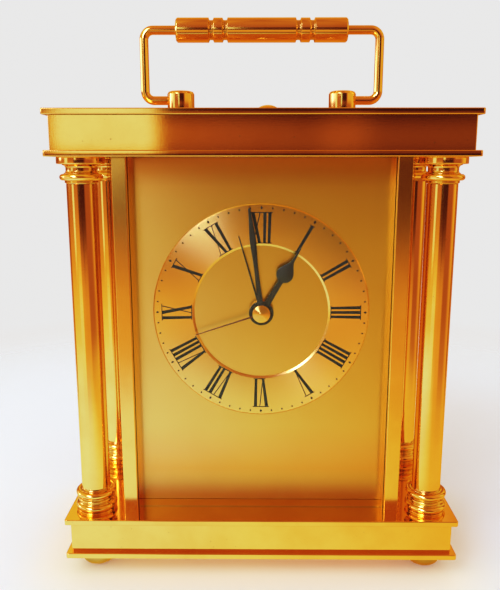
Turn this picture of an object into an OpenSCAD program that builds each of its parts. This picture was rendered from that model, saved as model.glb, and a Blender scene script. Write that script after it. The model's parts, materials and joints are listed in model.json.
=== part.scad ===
// Four-column brass carriage clock with a folding handle, an alarm stop button
// and a battery quartz alarm movement behind a raised chapter ring.
// Origin: middle of the footprint on the table plane. +Z up, the dial faces -Y.

/* [Case] */
// Width of the base and cornice plates
case_w = 140; // [136:1:146]
// Depth of the base and cornice plates
case_d = 64; // [62:1:68]
// Height of the bun feet
foot_h = 6.5; // [5:0.5:9]
// Thickness of each flat plate in the base and the cornice
plate_t = 2; // [1.6:0.2:2.4]
// Height of the recessed band between two plates
band_h = 11; // [10:0.5:13]
// How far a plate stands out past its band
band_in = 1.8; // [1:0.2:2.6]
// Clear height between base and cornice
body_h = 126.5; // [124:0.5:130]

/* [Columns] */
// Radius of a column shaft
shaft_r = 5; // [4.6:0.1:5.4]
// Distance from the front and back plate edges to the column axes
column_in = 10.6; // [9.4:0.2:11]

/* [Dial] */
// Outside diameter of the chapter ring
ring_od = 77; // [74:0.1:78]
// Inside diameter of the chapter ring
ring_id = 47.6; // [45:0.1:50]
// How far the chapter ring stands in front of the dial plate
ring_t = 0.6; // [0.4:0.1:0.9]
// Minute hand angle at rest, clockwise from twelve
minute_deg = 353.4; // [0:0.1:360]
// Hour hand angle at rest, clockwise from twelve
hour_deg = 30.6; // [0:0.1:360]
// Second hand angle at rest, clockwise from twelve
second_deg = 251.8; // [0:0.1:360]
// Alarm hand angle at rest, clockwise from twelve
alarm_deg = 343.7; // [0:0.1:360]

/* [Handle] */
// Radius of the bent handle wire
wire_r = 1.55; // [1.4:0.05:1.8]
// Half the distance between the upright wires
wire_x = 41.6; // [38:0.1:44]
// Centreline radius of the wire bends
bend_r = 3.2; // [2.8:0.1:5]
// Height of the grip axis above the handle pivot
handle_rise = 23.9; // [22:0.1:26]
// Diameter of the grip
grip_d = 8.3; // [7:0.1:8.6]
// Length of the grip
grip_l = 60.3; // [56:0.1:64]
// Half the distance between the handle posts
post_x = 28.9; // [26:0.1:31]

/* [Button] */
// Radius of the alarm stop button
button_r = 4.35; // [3.5:0.05:4.6]
// Offset of the button from the middle of the top
button_x = 2.3; // [-4:0.1:4]

/* [Hidden] */
$fn = 64;

// heights, bottom to top
base_top = foot_h + 2 * plate_t + band_h;
cornice_z = base_top + body_h;
top_z = cornice_z + 2 * plate_t + band_h;
under_top = top_z - plate_t;
cornice_floor = cornice_z + plate_t;
dial_z = base_top + 72.4;
pivot_z = top_z + 5;

// radial clearances
fit = 0.05;
slide_fit = 0.08;
loose = 0.1;

// columns and tie rods
column_x = case_w / 2 - 9.5;
column_y = case_d / 2 - column_in;
rod_r = 1.5;

// concentric parts through the dial centre: outer radii and front ends
second_r = 0.5;
minute_r = 1.2;
hour_r = 1.9;
alarm_r = 2.6;
bush_r = 3.3;
alarm_front = -17.5;
hour_front = -18.3;
minute_front = -19;
second_front = -19.5;

brass = [0.86, 0.66, 0.27];
satin = [0.82, 0.68, 0.36];
black = [0.05, 0.05, 0.05];
steel = [0.72, 0.72, 0.74];
plastic = [0.13, 0.13, 0.15];
gear_white = [0.9, 0.9, 0.86];

// ---- helpers -------------------------------------------------------------

function polar(radius, angle) = [radius * cos(angle), radius * sin(angle)];

// a box from its lowest and highest corners
module slab(low, high) { translate(low) cube(high - low); }

// turns X-Y drawings to face the front, their +Z running towards -Y from depth y
module facing(y) { translate([0, y, 0]) rotate([90, 0, 0]) children(); }

// about the dial centre, or a point [x, z] from it
module at_dial(place = [0, 0]) { translate([place[0], 0, dial_z + place[1]]) children(); }

// cylinders along each axis; along Y from front to rear
module xcyl(radius, x, length) {
    translate([x, 0, 0]) rotate([0, 90, 0]) cylinder(r = radius, h = length);
}
module ycyl(radius, front, rear) { facing(rear) cylinder(r = radius, h = rear - front); }
module zcyl(radius, z, height) { translate([0, 0, z]) cylinder(r = radius, h = height); }

module four_corners(x, y) {
    for (sx = [-1, 1], sy = [-1, 1]) translate([sx * x, sy * y, 0]) children();
}
module at_columns() { four_corners(column_x, column_y) children(); }

// the children, drawn on the right, and their mirror image on the left
module both_sides() {
    children();
    mirror([1, 0, 0]) children();
}

// ---- posts, glass, panels and door: shared places ---------------------------

post_in = 45;
post_out = 50;
post_y = [13, 24];
groove_x = 46.5; // bottom of the glass and dial grooves
pane_x = 46.4; // half width of the glass and the dial plate
glass_y = [-22.4, -20.9];
dial_y = [-16, -15];
panel_x = [47, 48.5];
panel_y = 14.4;
post_screw_at = [48.2, 19];
post_screw_r = 1;
post_screw_l = 8;

door_x = 44.8;
door_y = [22, 23.5];
door_pin_at = [-43.2, (door_y[0] + door_y[1]) / 2];
door_pin_r = 1;
door_knob_x = 39;
door_knob_z = (base_top + cornice_z) / 2;
knob_shank_r = 1;

module at_post_screws() { four_corners(post_screw_at[0], post_screw_at[1]) children(); }

// ---- base and cornice ------------------------------------------------------

corner_r = 0.8;
band_wall = 3;
lead_y = -4.5;

// flat plate with eased corners, drilled for the four tie rods
module deck(z, rod_holes = true) {
    x = case_w / 2;
    y = case_d / 2;
    difference() {
        union() {
            slab([-x, -y + corner_r, z], [x, y - corner_r, z + plate_t]);
            slab([-x + corner_r, -y, z], [x - corner_r, y, z + plate_t]);
            four_corners(x - corner_r, y - corner_r) zcyl(corner_r, z, plate_t);
        }
        if (rod_holes) at_columns() zcyl(rod_r + loose, z - 1, plate_t + 2);
    }
}

// hollow rectangular band
module band(z) {
    x = case_w / 2 - band_in;
    y = case_d / 2 - band_in;
    difference() {
        slab([-x, -y, z], [x, y, z + band_h]);
        slab([-x + band_wall, -y + band_wall, z - 1],
            [x - band_wall, y - band_wall, z + band_h + 1]);
    }
}

module post_screw_holes(z) { at_post_screws() zcyl(post_screw_r + loose, z - 1, plate_t + 2); }
module door_socket(z, height) {
    translate(door_pin_at) zcyl(door_pin_r + fit, z, height);
}

module base_bottom_plate() { color(brass) deck(foot_h); }
module base_band() { color(brass) band(foot_h + plate_t); }
module base_top_plate() {
    color(brass) difference() {
        deck(base_top - plate_t);
        post_screw_holes(base_top - plate_t);
        door_socket(base_top - 1.3, 3);
    }
}

// flattened buns, each with a blind hole for its tie rod
foot_r = 6.4;
foot_flat_r = 3.1; // where it stands on the table
foot_round = 0.7; // width of the upper rounding
foot_widest = 0.74; // height of the widest point, as a share of the foot
foot_upper = 0.27; // height of the upper rounding, likewise
foot_top_r = 5.85;
module bun_feet() {
    color(brass) at_columns() difference() {
        rotate_extrude() polygon(concat([[0, 0]],
            [for (i = [0:7]) let (a = 12 * i)
                [foot_flat_r + (foot_r - foot_flat_r) * sin(a),
                    foot_h * foot_widest * (1 - cos(a))]],
            [for (a = [90:18:162])
                [foot_r - foot_round + foot_round * sin(a),
                    foot_h * (foot_widest - foot_upper * cos(a))]],
            [[foot_top_r, foot_h], [0, foot_h]]));
        zcyl(rod_r + fit, 2.4, foot_h);
    }
}

module cornice_bottom_plate() {
    color(brass) difference() {
        deck(cornice_z);
        post_screw_holes(cornice_z);
        door_socket(cornice_z - 1, 2.3);
        // hole for the switch leads
        translate([button_x, lead_y]) zcyl(2.2, cornice_z - 1, plate_t + 2);
    }
}
module cornice_band() { color(brass) band(cornice_floor); }
module cornice_top_plate() {
    color(brass) difference() {
        deck(under_top, false);
        translate([button_x, 0]) zcyl(button_r + slide_fit, under_top - 1, plate_t + 2);
        for (s = [-1, 1]) translate([s * post_x, 0])
            zcyl(handle_screw_r + loose, under_top - 1, plate_t + 2);
    }
}

// ---- columns ---------------------------------------------------------------

column_base_h = 8.4;
capital_h = 8.6;
// turned steps: [z, height, lower radius, upper radius]
column_base_steps = [[0, 0.7, 7, 7], [2.9, 0.9, 6.4, 6], [3.75, 1.1, 6.4, 6.4],
    [4.8, 1, 6, 6.2], [7.7, column_base_h - 7.7, 6.2, 5.4]];
capital_steps = [[0, 1, 5.45, 5.45], [2.9, 0.9, 5.9, 5], [3.7, 1.7, 5, 5],
    [5.3, 0.9, 5, 6.2], [6.1, capital_h - 6.1, 8, 8]];
// round-edged rings: [middle z, radius to the rounding centre, rounding radius]
column_base_rings = [[1.8, 6.2, 1.2], [6.7, 6.1, 1.15]];
capital_rings = [[1.95, 6.15, 1.05]];

// turned part of all four columns, bored for the tie rods
module turned(z, height, steps, rings) {
    color(brass) at_columns() translate([0, 0, z]) difference() {
        union() {
            for (s = steps) translate([0, 0, s[0]]) cylinder(r1 = s[2], r2 = s[3], h = s[1]);
            for (r = rings) translate([0, 0, r[0]]) rotate_extrude() union() {
                translate([0, -r[2]]) square([r[1], 2 * r[2]]);
                translate([r[1], 0]) circle(r = r[2], $fn = 32);
            }
        }
        zcyl(rod_r + loose, -1, height + 2);
    }
}
module column_bases() {
    turned(base_top, column_base_h, column_base_steps, column_base_rings);
}
module column_capitals() {
    turned(cornice_z - capital_h, capital_h, capital_steps, capital_rings);
}
module column_shafts() {
    color(brass) at_columns() difference() {
        zcyl(shaft_r, base_top + column_base_h, body_h - column_base_h - capital_h);
        zcyl(rod_r + loose, base_top, body_h);
    }
}

// long rods clamp foot, base, column and cornice together
rod_z = 2.5;
boss_h = 8;
module tie_rods() { color(steel) at_columns() zcyl(rod_r, rod_z, under_top - 0.6 - rod_z); }
module rod_bosses() {
    color(brass) at_columns() difference() {
        zcyl(3.5, under_top - boss_h, boss_h);
        zcyl(rod_r + fit, under_top - boss_h - 1, boss_h + 0.6);
    }
}

// ---- front and rear posts, panels, door ------------------------------------

// groove along the inner face of a post, between two depths
module pane_groove(y, gap) {
    slab([post_in - 1, y[0] - gap, base_top - 1], [groove_x, y[1] + gap, cornice_z + 1]);
}

// right rear post, grooved for the side panel, with end screw holes
module post() {
    hole_l = post_screw_l + 1.5;
    difference() {
        slab([post_in, post_y[0], base_top], [post_out, post_y[1], cornice_z]);
        slab([panel_x[0] - 0.1, post_y[0] - 1, base_top - 1],
            [panel_x[1] + 0.1, panel_y + 0.1, cornice_z + 1]);
        translate(post_screw_at) {
            zcyl(post_screw_r + fit, base_top - 1, hole_l);
            zcyl(post_screw_r + fit, cornice_z + 1 - hole_l, hole_l);
        }
    }
}
module front_pilasters() {
    color(satin) both_sides() difference() {
        mirror([0, 1, 0]) post();
        pane_groove(glass_y, 0.05);
        pane_groove(dial_y, 0.03);
    }
}
module rear_posts() { color(satin) both_sides() post(); }

// slotted screws through the base and cornice plates
post_head_r = 1.9;
post_head_h = 1.3;
module post_screw_head(z, slot_low, slot_high) {
    translate([0, 0, z]) difference() {
        cylinder(r = post_head_r, h = post_head_h);
        slab([-3, -0.25, slot_low], [3, 0.25, slot_high]);
    }
}
module post_screws() {
    color(steel) at_post_screws() {
        zcyl(post_screw_r, base_top - plate_t, post_screw_l);
        post_screw_head(base_top - plate_t - post_head_h, -1, 0.6);
        zcyl(post_screw_r, cornice_floor - post_screw_l, post_screw_l);
        post_screw_head(cornice_floor, 0.7, 2);
    }
}

module side_panels() {
    color(brass) both_sides()
        slab([panel_x[0], -panel_y, base_top + 0.1], [panel_x[1], panel_y, cornice_z - 0.1]);
}

// flat sheet held between the front pilasters
module pane(y) { slab([-pane_x, y[0], base_top + 0.1], [pane_x, y[1], cornice_z - 0.1]); }
module front_glass() { color([0.75, 0.85, 0.85, 0.35]) pane(glass_y); }

// three riveting feet hold the ring to the dial plate
ring_foot_r = 0.6;
module at_ring_feet() { for (a = [90, 210, 330]) at_dial(polar(30.8, a)) children(); }

// the movement's bush passes through the centre hole
module dial_plate() {
    color(satin) difference() {
        pane(dial_y);
        at_dial() ycyl(bush_r + fit, -20, -10);
        at_ring_feet() ycyl(ring_foot_r + fit, -20, -10);
    }
}
// raised ring with bevelled edges
module chapter_ring() {
    outer = ring_od / 2;
    inner = ring_id / 2;
    edge = 0.15;
    color(satin) {
        at_dial() facing(dial_y[0]) rotate_extrude($fn = 128)
            polygon([[inner, 0], [outer, 0], [outer, edge], [outer - 0.5, ring_t],
                [inner + 0.9, ring_t], [inner, edge]]);
        at_ring_feet() ycyl(ring_foot_r, dial_y[0] - 0.2, dial_y[1] + 0.2);
    }
}
module centre_nut() {
    color(brass) at_dial() difference() {
        ycyl(4.2, dial_y[0] - 1, dial_y[0]);
        ycyl(bush_r + fit, -20, -10);
    }
}

// rear door with pivot pins on its left edge as seen from the front
module back_door() {
    pin_out = 1.1;
    color(brass) difference() {
        union() {
            slab([-door_x, door_y[0], base_top + 0.5], [door_x, door_y[1], cornice_z - 0.5]);
            translate(door_pin_at) zcyl(door_pin_r, base_top - pin_out, body_h + 2 * pin_out);
        }
        translate([door_knob_x, 0, door_knob_z]) ycyl(knob_shank_r + fit, 10, 30);
    }
}
// turned knob outside, shank through the door, round plate inside
door_knob_outline = [[0, 0], [2.6, 0], [2.6, 0.6], [1.4, 1.2], [1.4, 2.4],
    [3, 3.6], [3.2, 4.6], [2.4, 5.6], [0, 5.9]]; // [radius, distance from the door]
module door_knob() {
    color(brass) translate([door_knob_x, 0, door_knob_z]) {
        translate([0, door_y[1], 0]) rotate([-90, 0, 0])
            rotate_extrude() polygon(door_knob_outline);
        ycyl(knob_shank_r, 21.2, door_y[1] + 0.1);
        ycyl(2, door_y[0] - 1, door_y[0]);
    }
}

// ---- gear train: sizes and places --------------------------------------------

// [teeth, tooth module, front face y, rear face y]
rotor_pinion = [12, 0.2, -6.5, -5.5];
intermediate_gear = [60, 0.2, -6.4, -5.7];
intermediate_pinion = [10, 0.24, -7.5, -6.4];
seconds_gear = [60, 0.24, -7.4, -6.7];
seconds_pinion = [8, 0.25, -8.6, -7.4];
third_gear = [64, 0.25, -8.5, -7.8];
third_pinion = [8, 0.264706, -9.7, -8.5];
centre_gear = [60, 0.264706, -9.6, -8.9];
cannon_pinion = [12, 0.3, -10.9, -9.6];
motion_gear = [36, 0.3, -10.9, -9.9];
motion_pinion = [10, 0.288, -12.2, -10.9];
hour_gear = [40, 0.288, -12.1, -11.3];
time_set_gear = [12, 0.3, -10.9, -9.9];
alarm_gear = [40, 0.3, -13.2, -12.4];
alarm_set_gear = [20, 0.3, -13.2, -12.4];

// distance between the axes of two meshing gears
function spacing(first, second) = first[1] * (first[0] + second[0]) / 2;

// gear axes [x, z] from the dial centre
centre_at = [0, 0];
third_at = polar(spacing(seconds_pinion, third_gear), 160);
intermediate_at = polar(spacing(seconds_gear, intermediate_pinion), 45);
rotor_at = intermediate_at + [spacing(intermediate_gear, rotor_pinion), 0];
motion_at = [0, -spacing(cannon_pinion, motion_gear)];
time_set_at = motion_at - [0, spacing(motion_gear, time_set_gear)];
alarm_set_at = polar(spacing(alarm_gear, alarm_set_gear), 325);

// angle of the second gear's tooth that makes it mesh with the first at its own angle
function mesh(from, to, angle, first, second) =
    let (way = atan2(to[1] - from[1], to[0] - from[0]))
    way + 180 + 180 / second[0] + (way - angle) * first[0] / second[0];

third_deg = mesh(centre_at, third_at, 0, seconds_pinion, third_gear);
centre_deg = mesh(third_at, centre_at, third_deg, third_pinion, centre_gear);
intermediate_deg = mesh(centre_at, intermediate_at, 0, seconds_gear, intermediate_pinion);
rotor_deg = mesh(intermediate_at, rotor_at, intermediate_deg,
    intermediate_gear, rotor_pinion);
motion_deg = mesh(centre_at, motion_at, 0, cannon_pinion, motion_gear);
hour_gear_deg = mesh(motion_at, centre_at, motion_deg, motion_pinion, hour_gear);
time_set_deg = mesh(motion_at, time_set_at, motion_deg, motion_gear, time_set_gear);
alarm_set_deg = mesh(centre_at, alarm_set_at, 0, alarm_gear, alarm_set_gear);

axle_r = 0.6;
rotor_axle_r = 0.45;
time_shaft_r = 0.7;
alarm_shaft_r = 0.6;

// involute tooth form; addendum and dedendum are in tooth modules
pressure_deg = 25;
addendum = 0.8;
dedendum = 1.15;
tooth_share = 0.90; // tooth width as a share of half the pitch

// a point of the involute, from the tangent of its pressure angle
function involute_r(base_r, tangent) = base_r * sqrt(1 + tangent * tangent);
function involute_deg(tangent) = tangent * 180 / PI - atan(tangent);

// gear outline with a tooth centred on the given angle
module gear2d(teeth, size, angle) {
    pitch_r = size * teeth / 2;
    base_r = pitch_r * cos(pressure_deg);
    tip_r = pitch_r + addendum * size;
    root_r = pitch_r - dedendum * size;
    tip = sqrt(pow(tip_r / base_r, 2) - 1);
    start = root_r > base_r ? sqrt(pow(root_r / base_r, 2) - 1) : 0;
    half = 90 / teeth * tooth_share + involute_deg(tan(pressure_deg));
    flank = [start, start + (tip - start) * 0.55, tip];
    // [radius, angle] around one tooth
    tooth = concat(
        root_r < base_r ? [[root_r, -half]] : [],
        [for (t = flank) [involute_r(base_r, t), -half + involute_deg(t)]],
        [for (i = [2:-1:0]) [involute_r(base_r, flank[i]), half - involute_deg(flank[i])]],
        root_r < base_r ? [[root_r, half]] : []);
    polygon([for (k = [0:teeth - 1]) for (p = tooth)
        polar(p[0], p[1] + angle + 360 * k / teeth)]);
}
module gear(spec, angle) {
    facing(spec[3]) linear_extrude(height = spec[3] - spec[2]) gear2d(spec[0], spec[1], angle);
}

// ---- movement case and electrics ---------------------------------------------

// case box about the dial centre
move_x = 28;
move_low = -34;
move_high = 22;
move_front = -14.8;
move_split = -4;
move_rear = 4.2;
move_wall = 1.2;
// inner faces, let 0.1 into the walls
inner_x = move_x - move_wall + 0.1;
inner_front = move_front + move_wall - 0.1;
bay_top = -17.7;
battery_z = -25;
slide_x = -18;
slide_z = 10.5;

module move_box(front, rear, inset = 0) {
    slab([-move_x + inset, front, dial_z + move_low + inset],
        [move_x - inset, rear, dial_z + move_high - inset]);
}
module setting_holes(front, rear) {
    at_dial(time_set_at) ycyl(time_shaft_r + fit, front, rear);
    at_dial(alarm_set_at) ycyl(alarm_shaft_r + fit, front, rear);
}

// front shell with the fixed centre bush and the stub axles
module movement_front() {
    color(plastic) difference() {
        union() {
            difference() {
                move_box(move_front, move_split);
                move_box(move_front + move_wall, move_split + 1, move_wall);
            }
            at_dial() ycyl(bush_r, -16.95, move_front + 0.1);
            at_dial() ycyl(bush_r, move_front, move_front + move_wall);
            at_dial(third_at) ycyl(axle_r, move_front + 1, -7.75);
            at_dial(motion_at) ycyl(axle_r, move_front + 1, -9.7);
            // ledges in front of the gear bridge
            at_dial() both_sides() slab([24.6, inner_front, -2], [inner_x, -4.2, 9]);
            // wall over the battery bay
            at_dial() slab([-inner_x, inner_front, bay_top], [inner_x, move_split, -17]);
        }
        at_dial() ycyl(alarm_r + fit, -18, -10);
        setting_holes(move_front + 0.4, -13);
    }
}
// rear shell: battery opening, two setting shafts, slot for the alarm slide
module movement_back() {
    color(plastic) difference() {
        move_box(move_split, move_rear);
        move_box(move_split - 1, move_rear - move_wall, move_wall);
        at_dial() slab([-26, move_rear - 3, -32.6], [26, move_rear + 1, bay_top]);
        setting_holes(-5, 9);
        at_dial() slab([slide_x - 0.9, move_rear - 3, 10], [slide_x + 0.9, move_rear + 1, 18]);
    }
}
// bridge across the shell that carries the rear axles
module gear_bridge() {
    front = -4.1;
    rear = -3;
    top = 10.4;
    color(plastic) difference() {
        union() {
            at_dial() slab([-26.6, front, -3], [8, rear, top]);
            // thinner part behind the stator
            at_dial() slab([7.9, -3.8, 1.6], [18.5, rear, top]);
            at_dial() slab([18.4, front, 6], [26.6, rear, top]);
            at_dial(intermediate_at) ycyl(axle_r, -7.6, -3.5);
            at_dial(rotor_at) ycyl(rotor_axle_r, -6.6, -3.5);
        }
        at_dial() ycyl(second_r + fit, -6, -3.3);
    }
}
module circuit_board() {
    color([0.1, 0.4, 0.2]) at_dial() slab([-25, -1.6, 11.5], [6, -0.8, 20]);
}
module quartz_crystal() {
    color(steel) at_dial([0, 15.5]) translate([0, -2.8, 0]) xcyl(1.1, -12, 7);
}
// bobbin of wire on its core bar
module coil() {
    color([0.72, 0.4, 0.2]) at_dial() {
        translate([0, -3.6, 15.5]) xcyl(2.4, 12.8, 8);
        slab([9.6, -4.2, 14.6], [23.9, -3.4, 16.4]);
    }
}
// plate around the rotor with two upright arms to the coil bar
module stator() {
    left = 9.5;
    right = 24;
    bottom = 1.9;
    arm = [2.9, 15];
    color(steel) at_dial() facing(-4.25) linear_extrude(height = 0.8) difference() {
        union() {
            translate([10, bottom]) square([14, 7.6]);
            translate([left, bottom]) square(arm);
            translate([right - arm[0], bottom]) square(arm);
        }
        translate(rotor_at) circle(r = 2.5);
    }
}
// one AA cell lying across the bottom of the movement
module battery() {
    color([0.25, 0.27, 0.3]) at_dial([0, battery_z]) translate([0, -4.9, 0]) {
        xcyl(7.1, -24.6, 48.2);
        xcyl(2.7, 23.5, 1.4);
    }
}
module battery_contacts() {
    color(steel) at_dial([0, battery_z]) for (x = [-25.2, 25]) {
        slab([x, -11, -5], [x + 0.4, 1.5, 5]);
        slab([x, -3, 4.9], [x + 0.4, 1.5, 7]);
    }
}
module buzzer() {
    color(brass) at_dial([-16.5, -6]) {
        ycyl(8, -1.5, 0);
        ycyl(5, -0.1, 1);
    }
}

// ---- wheels and setting controls ---------------------------------------------

// two gears on a stub axle; the bore is cut between the two depths given
module stub_wheel(place, first, second, angle, bore_y) {
    color(gear_white) at_dial(place) difference() {
        union() {
            gear(first, angle);
            gear(second, angle);
        }
        ycyl(axle_r + fit, bore_y[0], bore_y[1]);
    }
}
// gear on a tube that turns about an inner shaft; children are added to it
module tube_wheel(spec, angle, tube_r, tube_front, inner_r) {
    color(gear_white) at_dial() difference() {
        union() {
            gear(spec, angle);
            ycyl(tube_r, tube_front, spec[2] + 0.1);
            children();
        }
        ycyl(inner_r + fit, -20, -8);
    }
}

// magnet and pinion of the stepping motor
module rotor() {
    color([0.3, 0.3, 0.32]) at_dial(rotor_at) difference() {
        union() {
            gear(rotor_pinion, rotor_deg);
            ycyl(0.8, -5.6, -5.3);
            ycyl(2, -5.4, -3.95);
        }
        ycyl(rotor_axle_r + fit, -8, -3);
    }
}
module intermediate_wheel() {
    stub_wheel(intermediate_at, intermediate_pinion, intermediate_gear,
        intermediate_deg, [-8, -5]);
}
// hub of the second hand: pinion, wheel and the innermost shaft
module seconds_wheel() {
    color(gear_white) at_dial() {
        gear(seconds_pinion, 0);
        gear(seconds_gear, 0);
        ycyl(second_r, second_front, -3.5);
    }
}
module third_wheel() { stub_wheel(third_at, third_gear, third_pinion, third_deg, [-11, -5]); }
// centre wheel, cannon pinion and the minute tube
module centre_wheel() {
    tube_wheel(cannon_pinion, 0, minute_r, minute_front, second_r)
        gear(centre_gear, centre_deg);
}
module motion_wheel() {
    stub_wheel(motion_at, motion_gear, motion_pinion, motion_deg, [-13, -9]);
}
module hour_wheel() { tube_wheel(hour_gear, hour_gear_deg, hour_r, hour_front, minute_r); }
module alarm_wheel() { tube_wheel(alarm_gear, 0, alarm_r, alarm_front, hour_r); }

// gear and shaft with a ribbed knob on the rear end
module setting_knob(place, spec, angle, radius) {
    knob_r = 2.7;
    color(plastic) at_dial(place) {
        gear(spec, angle);
        ycyl(radius, -14.1, 6);
        translate([0, 4.5, 0]) rotate([-90, 0, 0]) linear_extrude(height = 4) union() {
            circle(r = knob_r);
            for (a = [0:30:330]) rotate(a) translate([knob_r - 0.1, 0])
                circle(r = 0.35, $fn = 16);
        }
    }
}
module time_set_knob() {
    setting_knob(time_set_at, time_set_gear, time_set_deg, time_shaft_r);
}
module alarm_set_knob() {
    setting_knob(alarm_set_at, alarm_set_gear, alarm_set_deg, alarm_shaft_r);
}

// alarm on/off slide: thumb piece, neck through the slot, keeper inside
module slide_part(half_w, front, rear, inset = 0) {
    slab([slide_x - half_w, front, slide_z + inset],
        [slide_x + half_w, rear, slide_z + 4 - inset]);
}
module alarm_switch() {
    inside = move_rear - move_wall;
    color([0.85, 0.1, 0.1]) at_dial() {
        slide_part(2, move_rear + 0.1, move_rear + 1.6);
        slide_part(0.8, inside - 0.3, move_rear + 0.2, 0.5);
        slide_part(2, inside - 1, inside - 0.1);
    }
}

// ---- hands -----------------------------------------------------------------

// outlines of the hands: [distance from the centre, half width]
leaf = [[2.4, 1.1], [6, 0.95], [10, 0.8], [14, 0.71], [17, 0.72], [19.5, 0.8],
    [21.7, 0.93], [23.7, 1.05], [25.4, 1.1], [27, 1.07], [28.7, 0.97], [30.6, 0.81],
    [32.6, 0.65], [34.8, 0.51], [36.9, 0.4], [37.1, 0.2]];
// stem, round bulb, then a cosine taper to the tip
bulb_at = 16.1;
bulb_r = 3;
taper_w = 0.5;
taper_l = 6;
pear = concat([[2.4, 1.15], [8, 1.02], [13, 0.9]],
    [for (i = [0:9]) let (s = 13.3 + 0.3 * i) [s, sqrt(pow(bulb_r, 2) - pow(bulb_at - s, 2))]],
    [for (i = [0:15]) let (s = 0.4 * i)
        [bulb_at + s, taper_w + (bulb_r - taper_w) / 2 * (1 + cos(180 / taper_l * s))]],
    [[24, 0.38], [26.9, 0.2]]);
alarm_needle = [[3, 0.45], [14, 0.5], [28, 0.12]];
second_needle = [[-8, 0.9], [-6.5, 0.75], [-3, 0.45], [3, 0.4], [24.2, 0.15]];

// flat hand on a round hub, bored for its shaft
module hand(angle, outline, front, thick, hub_r, bore_r) {
    last = len(outline) - 1;
    at_dial() difference() {
        union() {
            ycyl(hub_r, front, front + thick);
            facing(front + thick) linear_extrude(height = thick) rotate(-angle)
                polygon(concat([for (p = outline) [-p[1], p[0]]],
                    [for (i = [last:-1:0]) [outline[i][1], outline[i][0]]]));
        }
        ycyl(bore_r, -21, -10);
    }
}
module alarm_hand() {
    color(black) hand(alarm_deg, alarm_needle, alarm_front, 0.3, 3.9, alarm_r);
}
module hour_hand() { color(black) hand(hour_deg, pear, hour_front, 0.4, 4.35, hour_r); }
module minute_hand() {
    color(black) hand(minute_deg, leaf, minute_front, 0.3, 3.4, minute_r);
}
module second_hand() {
    color([0.25, 0.06, 0.03])
        hand(second_deg, second_needle, second_front, 0.25, 2.2, second_r);
}
// small domed cap in front of the hubs
module centre_cap() {
    color(brass) at_dial() facing(second_front) rotate_extrude()
        polygon([[0, 0], [3.1, 0], [3.1, 0.35], [2.9, 0.6], [2.3, 0.85], [1.2, 1], [0, 1.03]]);
}

// ---- handle ----------------------------------------------------------------

handle_screw_r = 1.5;

module elbow(angle) {
    rotate_extrude(angle = angle) translate([bend_r, 0]) circle(r = wire_r, $fn = 32);
}
// right half of the wire, from the pivot end in the post to the middle of the grip
module half_wire() {
    pivot_x = post_x - 2.9;
    bend_x = wire_x - bend_r;
    translate([0, 0, pivot_z]) {
        xcyl(wire_r, pivot_x, bend_x - pivot_x, $fn = 32);
        translate([bend_x, 0, bend_r]) rotate([90, 0, 0]) rotate([0, 0, -90]) elbow(90);
        translate([wire_x, 0]) zcyl(wire_r, bend_r, handle_rise - 2 * bend_r, $fn = 32);
        translate([bend_x, 0, handle_rise - bend_r]) rotate([90, 0, 0]) elbow(90);
        translate([0, 0, handle_rise]) xcyl(wire_r, 0, bend_x, $fn = 32);
    }
}
module handle_wire() { color(brass) both_sides() half_wire(); }

// turned sleeve with two shallow grooves on each side of its middle
grip_grooves = [[12.2, 13.6], [17, 18.5]]; // edges, from the middle
groove_depth = 0.75;
grip_chamfer = 0.6;
module handle_grip() {
    r = grip_d / 2;
    end = grip_l / 2;
    // [distance from the middle, radius]
    outline = concat(
        [for (g = grip_grooves) for (p = [[g[0], r], [g[0], r - groove_depth],
            [g[1], r - groove_depth], [g[1], r]]) p],
        [[end - grip_chamfer, r], [end, r - grip_chamfer], [end, wire_r + fit]]);
    color(brass) translate([0, 0, pivot_z + handle_rise]) rotate([0, 90, 0]) rotate_extrude()
        polygon(concat([for (p = outline) [p[1], p[0]]],
            [for (i = [len(outline) - 1:-1:0]) [outline[i][1], -outline[i][0]]]));
}
module handle_posts() {
    color(brass) both_sides() translate([post_x, 0, top_z]) difference() {
        rotate_extrude()
            polygon([[0, 0], [4.8, 0], [4.8, 7.3], [4.5, 7.9], [3.9, 8.2], [0, 8.2]]);
        translate([0, 0, pivot_z - top_z]) xcyl(wire_r + fit, -3, 12);
        zcyl(handle_screw_r + fit, -1, 3.6);
    }
}
module handle_post_screws() {
    head_h = 1.6;
    color(steel) for (s = [-1, 1]) translate([s * post_x, 0, under_top]) {
        cylinder(r = handle_screw_r, h = 4.4);
        difference() {
            zcyl(2.8, -head_h, head_h);
            slab([-4, -0.35, -2], [4, 0.35, -0.9]);
        }
    }
}

// ---- alarm stop button -----------------------------------------------------

flange_r = 5.1;
flange_t = 1.3;
stem_r = 1.5;
stem_z = cornice_floor + 3.4;
bush_h = 7;
lead_r = 0.4;
lead_top = cornice_floor + 1;

// domed button with a flange under the top plate and a stem
module alarm_button() {
    color(brass) translate([button_x, 0, 0]) {
        translate([0, 0, under_top]) rotate_extrude() polygon(concat(
            [[0, -flange_t], [flange_r, -flange_t], [flange_r, -0.05], [button_r, -0.05]],
            [for (i = [0:10]) let (a = 9 * i)
                [button_r * cos(a), plate_t + 0.9 + 2.6 * sin(a)]]));
        zcyl(stem_r, stem_z, under_top - 1 - stem_z);
    }
}
module button_bush() {
    color(brass) translate([button_x, 0, under_top - bush_h]) difference() {
        cylinder(r = 6.5, h = bush_h);
        zcyl(flange_r + slide_fit, 1, bush_h);
        zcyl(stem_r + slide_fit, -1, 3);
    }
}
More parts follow.
